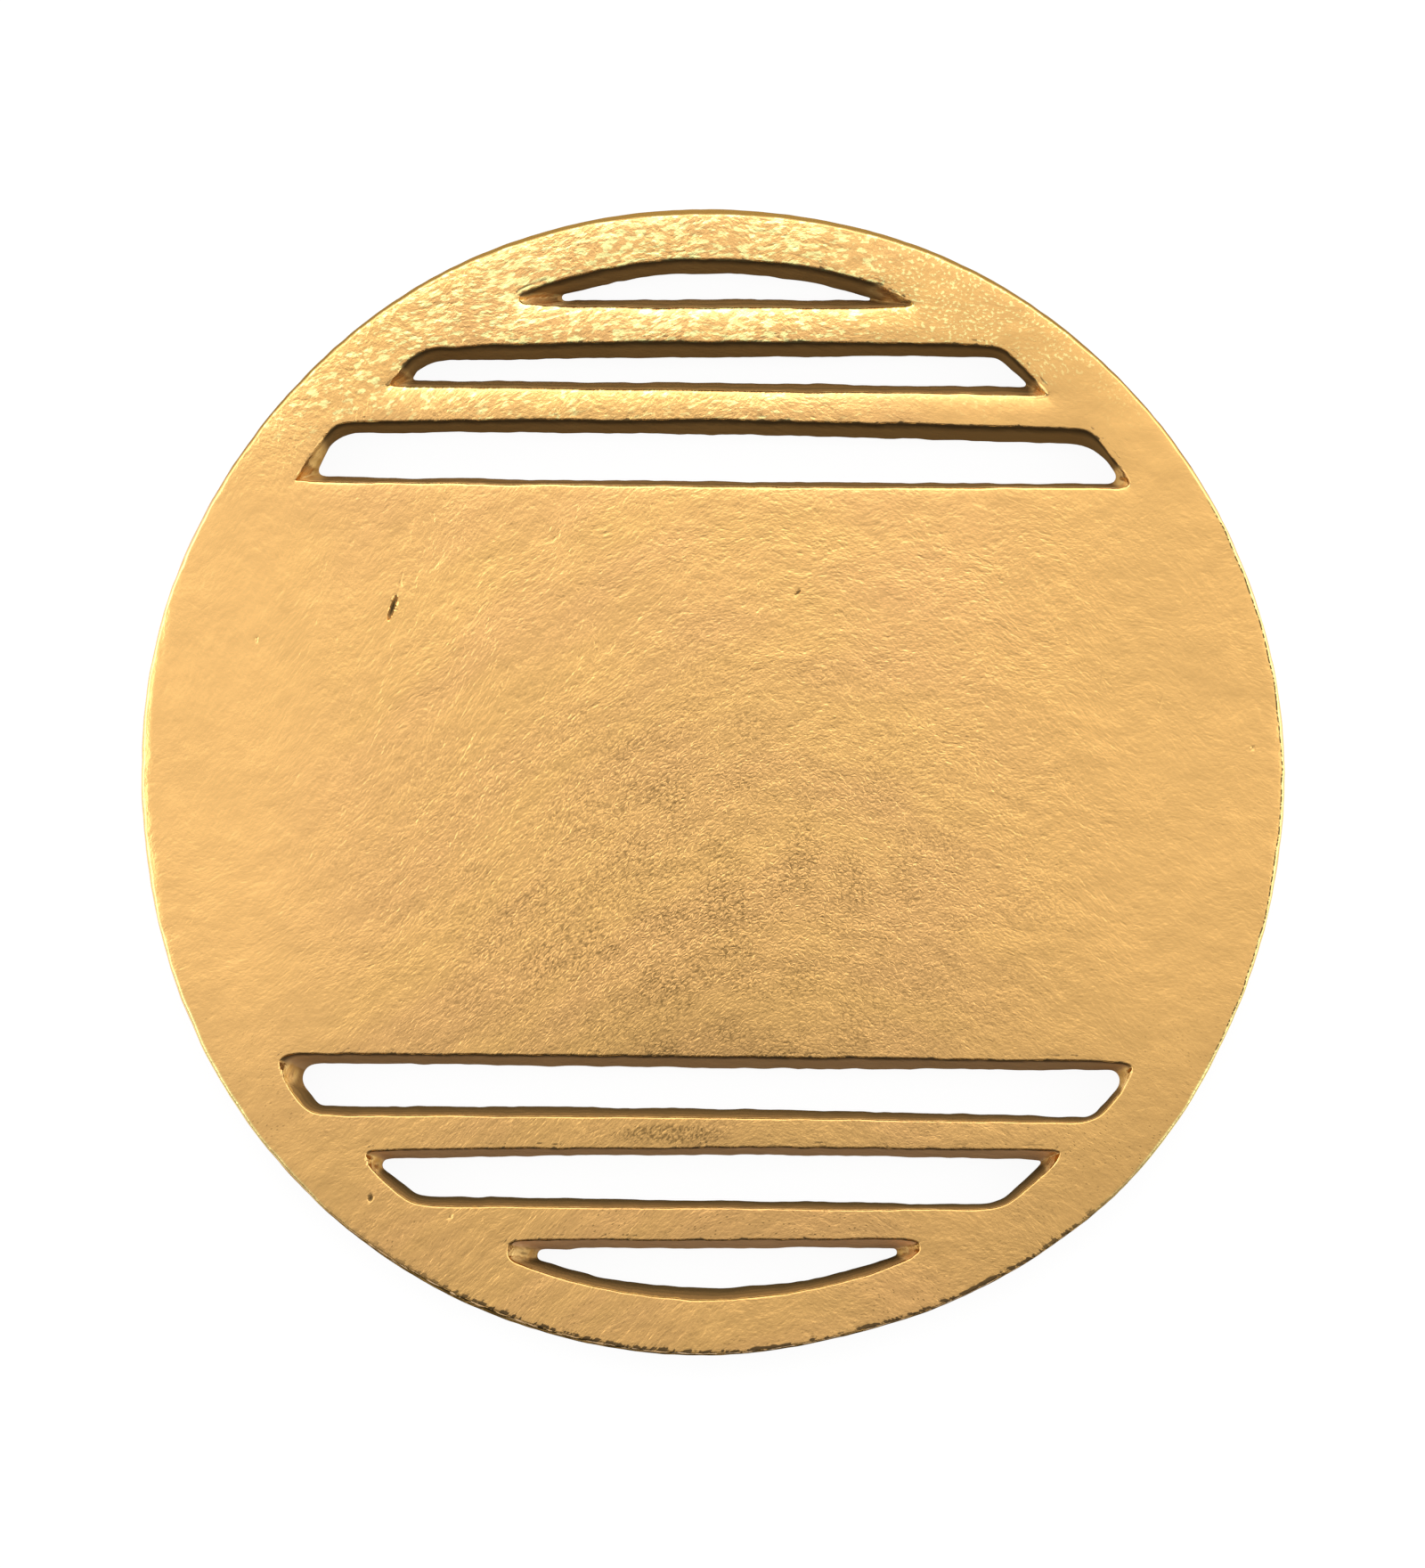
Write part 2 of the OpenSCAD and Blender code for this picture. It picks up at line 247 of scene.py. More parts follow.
# %% Lamps
def panel(name, place, size, radiance):
    """A soft rectangular lamp that faces the trivet. Its radiance is what metal mirrors of it."""
    light = bpy.data.lights.new(name, "AREA")
    light.shape = "RECTANGLE"
    light.size, light.size_y = size
    light.energy = radiance * math.pi * size[0] * size[1]
    lamp = bpy.data.objects.new(name, light)
    lamp.location = place
    lamp.rotation_euler = (-Vector(place)).to_track_quat("-Z", "Y").to_euler()
    lamp.visible_camera = False
    bpy.context.scene.collection.objects.link(lamp)


panel("far_softbox", (0.0, 0.7, 0.6), (1.3, 0.6), 1.6)
panel("left_softbox", (-0.72, 0.0, 0.8), (0.9, 0.6), 1.5)
panel("right_softbox", (0.72, 0.0, 0.8), (0.9, 0.6), 1.5)

# %% [markdown]
# ## The floor
# A plain white floor reaches far past the view. White paint alone would turn grey wherever the
# plate shades it, also in the slots. So part of its whiteness is its own glow, which the camera,
# mirroring metal and glass all see, and the rest is lit, so that the shadow stays.

# %% Floor
FLOOR_R = 8.0
FLOOR_GLOW = 0.92
FLOOR_PAINT = (0.1, 0.1, 0.1)

floor_mesh = bmesh.new()
bmesh.ops.create_circle(floor_mesh, cap_ends=True, radius=FLOOR_R, segments=96)
floor = bpy.data.objects.new("floor", bpy.data.meshes.new("floor"))
floor_mesh.to_mesh(floor.data)
bpy.context.scene.collection.objects.link(floor)

paint, paint_tree, paint_inputs = new_material("white_floor")
paint_inputs["Base Color"].default_value = (*FLOOR_PAINT, 1)
paint_inputs["Roughness"].default_value = 0.9
paint_inputs["Specular IOR Level"].default_value = 0.0
paint_inputs["Emission Color"].default_value = (1, 1, 1, 1)
rays = add_node(paint_tree, "LightPath").outputs
seen = Value(rays["Is Camera Ray"]).at_least(Value(rays["Is Glossy Ray"]))
seen = seen.at_least(Value(rays["Is Transmission Ray"]))
(seen * FLOOR_GLOW).feed(paint_inputs["Emission Strength"])
floor.data.materials.append(paint)

# %% [markdown]
# ## The casting: outlines
# The plate was cast in sand from a pattern whose slots were cut by hand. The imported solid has
# their true outlines, so they are read from it: the border of all faces that lie flat at one
# height gives the rim, the six slots and, at the back, the seats of the feet.

# %% Read the outlines of the solid
WELD = 1e-7  # points nearer than this are one
LEVEL = 1e-6  # a face this close to a height lies at it


def level_loops(node, height):
    """The closed outlines of what lies flat at a height, as arrays of X and Y."""
    mesh = bmesh.new()
    mesh.from_mesh(node.data)
    bmesh.ops.remove_doubles(mesh, verts=mesh.verts, dist=WELD)
    flat = {face for face in mesh.faces if all(abs(v.co.z - height) < LEVEL for v in face.verts)}
    links = {}
    for edge in mesh.edges:
        if sum(face in flat for face in edge.link_faces) == 1:
            for vert in edge.verts:
                links.setdefault(vert, []).append(edge.other_vert(vert))
    loops, seen_verts = [], set()
    for start in links:
        loop, vert = [], start
        while vert is not None and vert not in seen_verts:
            seen_verts.add(vert)
            loop.append(vert.co.xy[:])
            vert = next((way for way in links[vert] if way not in seen_verts), None)
        if len(loop) > 2:
            loops.append(np.array(loop))
    return loops


def turned(loop):
    """The outline, turned round if it doesn't run anticlockwise."""
    after = np.roll(loop, -1, axis=0)
    area = (loop[:, 0] * after[:, 1] - after[:, 0] * loop[:, 1]).sum()
    return loop if area > 0 else loop[::-1]


def reach(loop):
    """How wide an outline is along X."""
    return loop[:, 0].max() - loop[:, 0].min()


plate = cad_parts["cast_plate"]
back_z, front_z = plate_low.z, plate_high.z
plate_t = front_z - back_z
_, *front_slots = sorted(level_loops(plate, front_z), key=reach, reverse=True)
back_rim, *back_rest = sorted(level_loops(plate, back_z), key=reach, reverse=True)
back_slots = back_rest[:len(front_slots)]
for slots in (front_slots, back_slots):
    slots.sort(key=lambda loop: -loop[:, 1].mean())
print("slots:", len(front_slots), "points at the front and at the back:",
      [(len(front), len(back)) for front, back in zip(front_slots, back_slots)])

# %% [markdown]
# ## The casting: even steps and soft unevenness
# The fine mesh needs points at even steps along each outline, closer where it turns. The front
# and the back outline of a slot have their points in the same order, so once their starts are
# matched, one list of places serves both, and the wall between them doesn't twist.
#
# Unevenness comes from soft random hills. They depend on the place alone, so an outline closes
# on itself without a jump, and the same seed always gives the same casting.

# %% Helpers for outlines
def matched(front, back):
    """The back outline, started so that its points face those of the front one."""
    misses = [((front - np.roll(back, shift, axis=0)) ** 2).sum() for shift in range(len(back))]
    return np.roll(back, int(np.argmin(misses)), axis=0)


def even_places(loop, step, turn_weight):
    """Places along an outline at even steps of length and turning, as fractional point numbers."""
    side = np.roll(loop, -1, axis=0) - loop
    heading = np.arctan2(side[:, 1], side[:, 0])
    turn = np.abs((heading - np.roll(heading, 1) + np.pi) % (2 * np.pi) - np.pi)
    weight = np.hypot(*side.T) + turn_weight * (turn + np.roll(turn, -1)) / 2
    run = np.concatenate([[0], np.cumsum(weight)])
    count = int(round(run[-1] / step))
    return np.interp(np.arange(count) / count * run[-1], run, np.arange(len(run)))


def along(loop, places):
    """The points of an outline at fractional point numbers."""
    closed = np.vstack([loop, loop[:1]])
    return np.stack([np.interp(places, np.arange(len(closed)), column) for column in closed.T], axis=1)


def relaxed(points, rounds):
    """A closed line of points, each drawn towards its neighbours a few times."""
    for _ in range(rounds):
        points = (np.roll(points, 1, axis=0) + 2 * points + np.roll(points, -1, axis=0)) / 4
    return points


def right_of(points):
    """Unit normals on the right-hand side of a closed line, where the metal is."""
    ahead = np.roll(points, -1, axis=0) - np.roll(points, 1, axis=0)
    normals = np.stack([ahead[:, 1], -ahead[:, 0]], axis=1)
    return normals / np.linalg.norm(normals, axis=1)[:, None]


# %% Soft hills
HILL_COUNT = 64  # after this many units the hills repeat


def hills(x, y, seed):
    """Soft random hills and hollows, about one unit wide, from -1 to 1."""
    table = np.random.default_rng(seed).uniform(-1, 1, (HILL_COUNT, HILL_COUNT))
    column, row = np.floor(x).astype(int), np.floor(y).astype(int)
    over, up = x - column, y - row
    over, up = over * over * (3 - 2 * over), up * up * (3 - 2 * up)
    column, row = column % HILL_COUNT, row % HILL_COUNT
    next_column, next_row = (column + 1) % HILL_COUNT, (row + 1) % HILL_COUNT
    near = table[column, row] * (1 - over) + table[next_column, row] * over
    far = table[column, next_row] * (1 - over) + table[next_column, next_row] * over
    return near * (1 - up) + far * up


# %% [markdown]
# ## The casting: one mesh from rings
# Each edge of the plate, at the rim or at a slot, is a stack of rings: three on the face, a few
# round the lip, several down the wall and one on the back. Neighbouring rings are joined by
# quads. The flat fields between the edges are filled with scattered points afterwards.
#
# Three values travel with every point: how far it lies from the lip, how deep below the face, and
# whether the metal lies above it or below it in the picture. The finish uses them later.

# %% The mesh and its rings
skin_points, skin_lip, skin_deep, skin_above, skin_faces = [], [], [], [], []


def add_points(points, heights, lip, deep, above):
    """Adds points to the skin and returns their numbers."""
    first = len(skin_points)
    skin_points.extend(np.column_stack([points, np.broadcast_to(heights, len(points))]))
    for values, kept in ((lip, skin_lip), (deep, skin_deep), (above, skin_above)):
        kept.extend(np.broadcast_to(values, len(points)))
    return np.arange(first, first + len(points))


def bridge(upper, lower):
    """Quads from one ring to the next. They face away from the metal."""
    quads = np.column_stack([upper, np.roll(upper, -1), np.roll(lower, -1), lower])
    skin_faces.extend(quads.tolist())


# %% One edge of the plate
FACE_STEPS = (0.8 * MM, 0.35 * MM, 0.09 * MM)  # rings on the face, outside the lip
LIP_TURNS = (0, 22, 45, 67, 90)  # degrees round the lip
WALL_SHARES = (0.09, 0.2, 0.33, 0.47, 0.61, 0.75, 0.88, 1.0)  # down the wall
BACK_CORNER = 0.3 * MM
WALL_WAVE = 0.24 * MM  # a wall swells and sinks by up to about a third of this
WALL_WAVE_SIZE = 1.7 * MM


def edge_rings(corner, back, lip_r):
    """Builds one edge and returns its outermost ring on the face, and the last one on the back.

    corner is where the wall would meet the face if it had no lip, and back is its foot."""
    metal = right_of(relaxed(corner, 2))
    above = metal[:, 1]
    lip_r = lip_r[:, None]
    rings = []
    for step in FACE_STEPS:
        rings.append(add_points(corner + metal * (lip_r + step), front_z, step / MM, 0, above))
    for turn in np.radians(LIP_TURNS):
        points = corner + metal * lip_r * (1 - math.sin(turn))
        drop = lip_r[:, 0] * (1 - math.cos(turn))
        rings.append(add_points(points, front_z - drop, 0, drop / plate_t, above))
    wall_top = front_z - lip_r[:, 0]
    foot_z = back_z + BACK_CORNER
    for share in WALL_SHARES:
        points = corner + (back - corner) * share
        heights = wall_top + (foot_z - wall_top) * share
        wave = hills(points[:, 0] / WALL_WAVE_SIZE, points[:, 1] / WALL_WAVE_SIZE + share * 3, 11)
        points = points + metal * (wave * WALL_WAVE * share * (1.2 - share))[:, None]
        rings.append(add_points(points, heights, 0, (front_z - heights) / plate_t, above))
    foot = back + right_of(relaxed(back, 2)) * BACK_CORNER
    rings.append(add_points(foot, back_z, 0, 1, above))
    for upper, lower in zip(rings, rings[1:]):
        bridge(upper, lower)
    return rings[0], rings[-1]


# %% [markdown]
# ## The casting: the rim
# The rim isn't a true circle. The pattern was filed by hand, so the disc bulges by half a
# millimetre here and is hollow there. A few soft bumps at the angles where the photograph shows
# them do this better than an even wave, and small hills roughen the line.

# %% Rim
STEP = 0.78 * MM
# Angle in degrees from +X, height in pixels of the photograph and width in degrees
RIM_BUMPS = (
    (-175, -5.0, 16), (-128, 3.2, 22), (-76, -4.6, 11), (-43, 4.4, 11), (-12, -2.2, 16),
    (62, 1.2, 10), (84, -1.8, 11), (120, 2.8, 14),
)
RIM_ROUGH = 0.07 * MM
# Angle, and how wide the rim's leaning side shows there, in pixels
RIM_BAND = (
    (-150, 2.0), (-132, 2.5), (-116, 6.4), (-90, 3.8), (-60, 2.6), (-40, 1.6), (0, 1.2), (40, 2.8),
    (90, 7.0), (140, 3.4), (170, 2.0),
)
LIP_ABOVE, LIP_ASIDE = 0.3 * MM, 0.4 * MM  # the lip's radius towards +Y and -Y, and towards the sides

rim_count = int(round(2 * math.pi * plate_r / STEP))
rim_angle = -np.arange(rim_count) / rim_count * 2 * math.pi
rim_degrees = np.degrees(rim_angle)
rim_line = np.stack([np.cos(rim_angle), np.sin(rim_angle)], axis=1)
swell = np.zeros(rim_count)
for angle, height, width in RIM_BUMPS:
    away = (rim_degrees - angle + 180) % 360 - 180
    swell += height * pixel * np.exp(-(away / width) ** 2)
rough = RIM_ROUGH * (hills(*rim_line.T / 0.02, 21) + hills(*rim_line.T / 0.06, 22))
back_r = np.hypot(*back_rim.T).max()
aside = np.abs(rim_line[:, 0]) ** 1.5
rim_lip = (LIP_ABOVE + (LIP_ASIDE - LIP_ABOVE) * aside) * (1 + 0.35 * hills(*rim_line.T / 0.03, 23))
band_angles, band_widths = zip(*RIM_BAND)
corner_r = plate_r - pixel * np.interp(rim_degrees, band_angles, band_widths, period=360)
rim_corner = rim_line * (corner_r + swell + rough)[:, None]
rim_back = rim_line * (back_r + swell + 0.4 * rough)[:, None]
edges = [edge_rings(rim_corner, rim_back, rim_lip)]
print("the rim has", rim_count, "steps and swells by", round(np.ptp(swell) / MM, 2), "mm")

# %% [markdown]
# ## The casting: the slots
# Each slot's edge wanders twice: slowly, as the hand that cut the pattern did, and quickly, as
# metal does that froze against sand. The upper lips are crisp and the lower ones soft, so the
# radius of the lip follows the direction that it faces. A few tables hold what the photograph
# shows of single slots: how round their tips are, and where a lip or a tip lies off the solid's.

# %% How the slots differ
MOUTH_IN = 1.0 * MM  # from the solid's outline in to the line where wall and face would meet
TIP_ROUNDS = (12, 9, 9, 26, 20, 16)  # how much each slot's tips are rounded, from the top slot down
TURN_WEIGHT = 1.6 * MM
WANDER = ((0.12 * MM, 9 * MM), (0.09 * MM, 3.2 * MM), (0.05 * MM, 1.4 * MM))  # how far, and how long
CRISP_LIP = 0.25 * MM
SOFT_LIPS = (0.75 * MM, 0.7 * MM, 0.5 * MM, 0.35 * MM, 0.35 * MM, 0.35 * MM)
LIFTED = (0, 0, 0, 0, 0, 0.7 * MM)  # how far each slot's upper lip lies above the solid's
SHORTER = (1.8 * MM, 0, 0, 0, 0, 0)  # how far each slot's right tip lies left of the solid's
TIP_LONG = 8 * MM  # the stretch at a slot's end that this draws together
# Ends that a file opened further: X and Y in pixels, reach and depth in mm
FILED = ((411, 1311, 2.4, 0.9), (1188, 1308, 2.0, 0.5))


def wandering(points, seed):
    """An outline moved a little to and fro across its own direction."""
    shift = sum(height * hills(*(points / size).T, seed + n) for n, (height, size) in enumerate(WANDER))
    return points + right_of(relaxed(points, 3)) * shift[:, None]


# %% Slots
for number, (front, back) in enumerate(zip(front_slots, back_slots)):
    front = turned(front)
    back = matched(front, turned(back))
    places = even_places(front, STEP, TURN_WEIGHT)
    mouth = relaxed(along(front, places), TIP_ROUNDS[number])
    mouth = relaxed(mouth - right_of(mouth) * MOUTH_IN, 2)
    for x, y, reach_mm, out in FILED:
        away = np.hypot(*(mouth - (at_x(x), at_y(y))).T) / (reach_mm * MM)
        mouth = mouth + right_of(relaxed(mouth, 3)) * (out * MM * np.exp(-away ** 2))[:, None]
    mouth[:, 1] += LIFTED[number] * np.clip(right_of(relaxed(mouth, 3))[:, 1] * 1.5, 0, 1)
    at_tip = np.clip(1 - (mouth[:, 0].max() - mouth[:, 0]) / TIP_LONG, 0, 1)
    mouth[:, 0] -= SHORTER[number] * at_tip
    mouth = wandering(mouth, 40 + 10 * number)
    foot_line = wandering(relaxed(along(back, places), 2), 45 + 10 * number)
    faces_down = right_of(relaxed(mouth, 3))[:, 1] / 2 + 0.5
    lip_r = SOFT_LIPS[number] + (CRISP_LIP - SOFT_LIPS[number]) * faces_down
    lip_r = lip_r * (1 + 0.25 * hills(*(mouth / (4 * MM)).T, 70 + number))
    edges.append(edge_rings(mouth, foot_line, lip_r))
face_rings, back_rings = map(list, zip(*edges))
print("points so far:", len(skin_points))

# %% [markdown]
# ## The casting: the seats of the feet
# Each foot sits in a shallow round seat in the plate's back, with a blind tapped hole in its
# middle. They are turned surfaces, so plain rings make them. Their sizes are read from the
# solid, at the height where the foot ends.

# %% Seats and tapped holes
CORNERS = ("back_left", "back_right", "front_left", "front_right")
ROUND_STEPS = 48
NEAR_FOOT = 10 * MM
DRILL_TIP_R = 0.02 * MM

round_angle = np.arange(ROUND_STEPS) / ROUND_STEPS * 2 * math.pi
unit_ring = np.stack([np.cos(round_angle), np.sin(round_angle)], axis=1)
seat_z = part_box("foot_back_left")[1].z
solid_points = np.array([vert.co for vert in plate.data.vertices])


def foot_centre(corner):
    """The middle of a foot, as X and Y."""
    low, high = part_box("foot_" + corner)
    return np.array([(low.x + high.x) / 2, (low.y + high.y) / 2])


for corner in CORNERS:
    centre = foot_centre(corner)
    near = solid_points[np.hypot(*(solid_points[:, :2] - centre).T) < NEAR_FOOT]
    away = np.hypot(*(near[:, :2] - centre).T)
    floor_away = away[np.abs(near[:, 2] - seat_z) < LEVEL]
    hole_r = floor_away.min()
    seat_r = floor_away[floor_away < 1.5 * (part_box("foot_" + corner)[1].x - centre[0])].max()
    in_hole = (away < hole_r * 1.01) & (near[:, 2] < front_z - LEVEL)
    tip_z = near[in_hole, 2].max()
    hole_end = near[in_hole & (away > hole_r * 0.99), 2].max()
    rings = [add_points(centre + unit_ring * r, z, 0, 1, 0) for r, z in (
        (seat_r, back_z), (seat_r, seat_z), (hole_r, seat_z), (hole_r, hole_end), (DRILL_TIP_R, tip_z))]
    for lower, upper in zip(rings, rings[1:]):
        bridge(upper, lower)
    skin_faces.append(rings[-1][::-1].tolist())
    back_rings.append(rings[0])
print("seat radius", round(seat_r / MM, 2), "hole radius", round(hole_r / MM, 2), "mm, to a height of",
      round(hole_end / MM, 2), "mm")

# %% [markdown]
# ## The casting: filling the face and the back
# What is left are two flat fields with holes in them. Points scattered at even steps and joined
# by a Delaunay net fill them with well-shaped triangles, and the net keeps every ring as it is.
# Where the photograph shows a crack or a pit, the points are much closer, so that it can be a
# real hollow in the mesh.

# %% Marks on the face
# X and Y in pixels, half length and half width in mm, angle in degrees and depth in mm
MARKS = (
    (441.5, 683.0, 2.4, 0.42, 71, 0.9), (450.0, 655.0, 2.6, 0.25, 76, 0.07),
    (895.5, 666.0, 0.75, 0.22, 35, 0.3), (417.0, 1344.0, 0.6, 0.45, 60, 0.45),
    (506.0, 1365.0, 0.3, 0.22, 20, 0.2), (1301.0, 790.0, 1.7, 0.2, 72, 0.05),
    (1235.0, 762.0, 2.6, 0.16, 84, 0.035), (1405.0, 840.0, 0.28, 0.2, 0, 0.16),
    (289.5, 719.0, 0.62, 0.2, 80, 0.14),
)
# Soft creases, wide and very shallow: the same six values
CREASES = (
    (253, 713, 7.5, 0.9, 60, 0.035), (385, 860, 5.0, 0.8, 42, 0.04), (392, 640, 8.0, 0.9, 84, 0.05),
    (352, 700, 7.0, 0.8, 75, 0.035), (430, 760, 6.0, 0.7, 66, 0.035), (520, 618, 6.0, 0.7, 10, 0.04),
    (700, 700, 9.0, 1.0, 25, 0.03), (1010, 640, 8.0, 1.1, -20, 0.03), (1120, 900, 9.0, 1.0, 62, 0.03),
    (860, 610, 3.0, 1.6, 0, 0.05), (640, 860, 12.0, 1.2, 20, 0.04), (930, 900, 9.0, 0.9, 14, 0.04),
)


def in_mark(points, mark, swell=1.0):
    """How far into a mark each point lies: 1 at its middle line, 0 at its border and outside."""
    x, y, half_length, half_width, angle, _ = mark
    away = points - (at_x(x), at_y(y))
    turn = math.radians(angle)
    forth = (away[:, 0] * math.cos(turn) + away[:, 1] * math.sin(turn)) / (half_length * MM * swell)
    aside = (away[:, 1] * math.cos(turn) - away[:, 0] * math.sin(turn)) / (half_width * MM * swell)
    return np.clip(1 - forth ** 2 - aside ** 2, 0, 1)


# %% Scatter points
CLEARED, REFILLED = 1.5, 1.35  # how much wider than a mark its old points go and its new ones reach


def grid(reach_out, step, row_step):
    """Points on a grid round the middle, as X and Y."""
    return np.meshgrid(np.arange(-reach_out, reach_out, step), np.arange(-reach_out, reach_out, row_step))


def scatter(step, fine_marks):
    """Points at even steps over the whole disc, and four times as close in the marks."""
    random = np.random.default_rng(5)
    x, y = grid(plate_r, step, step * math.sqrt(3) / 2)
    x = x + (np.arange(len(x)) % 2)[:, None] * step / 2
    scattered = np.column_stack([x.ravel(), y.ravel()])
    scattered += random.uniform(-0.22, 0.22, scattered.shape) * step
    scattered = scattered[np.hypot(*scattered.T) < plate_r]
    for mark in fine_marks:
        scattered = scattered[in_mark(scattered, mark, CLEARED) <= 0]
        x, y = grid(mark[2] * MM * CLEARED, step / 4, step / 4)
        close = np.column_stack([x.ravel(), y.ravel()]) + (at_x(mark[0]), at_y(mark[1]))
        close += random.uniform(-0.2, 0.2, close.shape) * step / 4
        scattered = np.vstack([scattered, close[in_mark(close, mark, REFILLED) > 0]])
    return scattered


# %% Fill a field
def field(rings, step, fine_marks=()):
    """Fills the field between rings. Returns the scattered points, how deep they lie in the metal,
    whether that is above or below, and triangles whose numbers count the rings' points first."""
    ring_xy = np.array([skin_points[number][:2] for number in np.concatenate(rings)])
    ring_edges, metal, first = [], [], 0
    for ring in rings:
        numbers = np.arange(first, first + len(ring))
        metal.append(right_of(ring_xy[numbers]))
        ring_edges.extend(np.column_stack([numbers, np.roll(numbers, -1)]).tolist())
        first += len(ring)
    metal = np.concatenate(metal)
    tree = KDTree(len(ring_xy))
    for number, xy in enumerate(ring_xy):
        tree.insert((*xy, 0), number)
    tree.balance()

    def inside(xy):
        """The distance into the metal from the nearest ring, less than nothing outside."""
        found, number, distance = tree.find((*xy, 0))
        side = (xy[0] - found.x) * metal[number][0] + (xy[1] - found.y) * metal[number][1]
        return (distance if side > 0 else -distance), metal[number][1]

    scattered = scatter(step, fine_marks)
    depth, above = np.array([inside(xy) for xy in scattered]).T
    kept = depth > step * 0.55
    scattered, depth, above = scattered[kept], depth[kept], above[kept]
    corners = [Vector(xy) for xy in np.vstack([ring_xy, scattered]) / MM]
    _, _, triangles, origins, _, _ = delaunay_2d_cdt(corners, ring_edges, [], 0, 1e-6)
    filled = []
    for triangle in triangles:
        numbers = [origins[number][0] for number in triangle]
        in_opening = max(numbers) < len(ring_xy) and inside(ring_xy[numbers].mean(axis=0))[0] < 0
        if not in_opening:
            filled.append(numbers)
    return scattered, depth, above, filled


# %% Face and back
BACK_STEP = 2.2 * MM

scattered, depth, above, filled = field(face_rings, STEP, MARKS)
numbers = add_points(scattered, front_z, (depth + FACE_STEPS[0]) / MM, 0, above)
numbers = np.concatenate([*face_rings, numbers])
skin_faces.extend([numbers[triangle].tolist() for triangle in filled])
print("face:", len(scattered), "points and", len(filled), "triangles")

scattered, _, _, filled = field(back_rings, BACK_STEP)
numbers = np.concatenate([*back_rings, add_points(scattered, back_z, 0, 1, 0)])
skin_faces.extend([numbers[triangle][::-1].tolist() for triangle in filled])
print("back:", len(scattered), "points and", len(filled), "triangles")

# %% [markdown]
# ## The casting: relief
# The skin rises and sinks. Wide soft hollows come from the way the metal shrank, smaller ones
# from the sand, and every bar rolls off towards its lips like a pillow. All of it fades down the
# walls, so nothing tears. The wrinkles that are finer than the mesh come later, as a bump in the
# finish.

# %% Relief of the face
PILLOW_UP, PILLOW_DOWN = 0.34 * MM, 0.05 * MM  # how far a bar rolls off, in the upper group and elsewhere
PILLOW_REACH = 1.4 * MM
RIM_PILLOW = 0.4  # how much of it is left at the rim
PILLOW_FROM, PILLOW_TO = at_y(590), at_y(440)
SIDE_ROLL, SIDE_ROLL_REACH = 0.14 * MM, 0.6  # at the rim's left and right, and how far in, in mm
# How high the hollows are, and how wide along X and Y
HOLLOWS = ((0.055 * MM, 19 * MM, 13 * MM), (0.03 * MM, 8 * MM, 5 * MM), (0.026 * MM, 3.4 * MM, 2.4 * MM))


def relief(points, lip, above):
    """How far the face rises at each point. It rolls off least where the metal lies above a slot."""
    share = np.clip((points[:, 1] - PILLOW_FROM) / (PILLOW_TO - PILLOW_FROM), 0, 1)
    near_rim = np.clip((np.hypot(*points.T) - plate_r + 5 * MM) / (2 * MM), 0, 1)
    share = share * (0.6 - 0.4 * above) * (1 - (1 - RIM_PILLOW) * near_rim)
    height = -(PILLOW_DOWN + (PILLOW_UP - PILLOW_DOWN) * share) * np.exp(-lip * MM / PILLOW_REACH)
    at_side = np.clip((np.abs(points[:, 0]) / plate_r - 0.91) / 0.07, 0, 1)
    at_side = at_side * np.where(points[:, 0] < 0, 1, 0.6)
    height = height - SIDE_ROLL * at_side * near_rim * np.exp(-(lip / SIDE_ROLL_REACH) ** 2)
    for number, (rise, wide, high) in enumerate(HOLLOWS):
        height = height + rise * hills(points[:, 0] / wide, points[:, 1] / high, 90 + number)
    for mark in MARKS + CREASES:
        into = in_mark(points, mark)
        height = height - mark[5] * MM * into ** (0.7 if mark in MARKS else 2)
    return height


skin = np.array(skin_points)
lip, deep, above = (np.array(values) for values in (skin_lip, skin_deep, skin_above))
fade = np.clip(1 - deep / 0.5, 0, 1) ** 2
skin[:, 2] += relief(skin[:, :2], lip, above) * fade
dark_marks = [in_mark(skin[:, :2], mark) ** 0.5 * min(1, mark[5] / 0.3) for mark in MARKS]
hurt = np.max(dark_marks, axis=0) * fade
print("the face rises and sinks by", round(np.ptp(skin[deep == 0, 2]) / MM, 2), "mm")

# %% [markdown]
# ## The casting: lumps at the ends of the slots
# Where two walls of a slot meet in a narrow tip, the metal filled the sand badly: small lumps
# and folds stay there, and the finish on them stayed gold. They push the skin outwards, each over
# a small round area, and the end walls are rougher than the long ones.

# %% Lumps
# X and Y of a lumpy end's middle, half width and half height, in pixels
LUMPY_ENDS = (
    (610, 338, 30, 9), (1003, 330, 30, 13), (444, 425, 20, 13), (346, 515, 26, 36), (1167, 439, 12, 12),
    (1261, 536, 15, 15), (322, 1204, 16, 15), (1265, 1210, 14, 16), (418, 1306, 15, 15),
    (1182, 1305, 12, 15), (588, 1406, 20, 10), (1021, 1405, 17, 10),
)
LUMP_SIZE, LUMP_RISE = 0.9 * MM, 0.32 * MM
END_ROUGH, END_ROUGH_SIZE = 0.16 * MM, 1.3 * MM


def outward(points, faces):
    """The unit normal of the skin at each point."""
    draft = bpy.data.meshes.new("draft")
    draft.from_pydata([tuple(spot) for spot in points], [], faces)
    normals = np.array([vert.normal for vert in draft.vertices])
    bpy.data.meshes.remove(draft)
    return normals


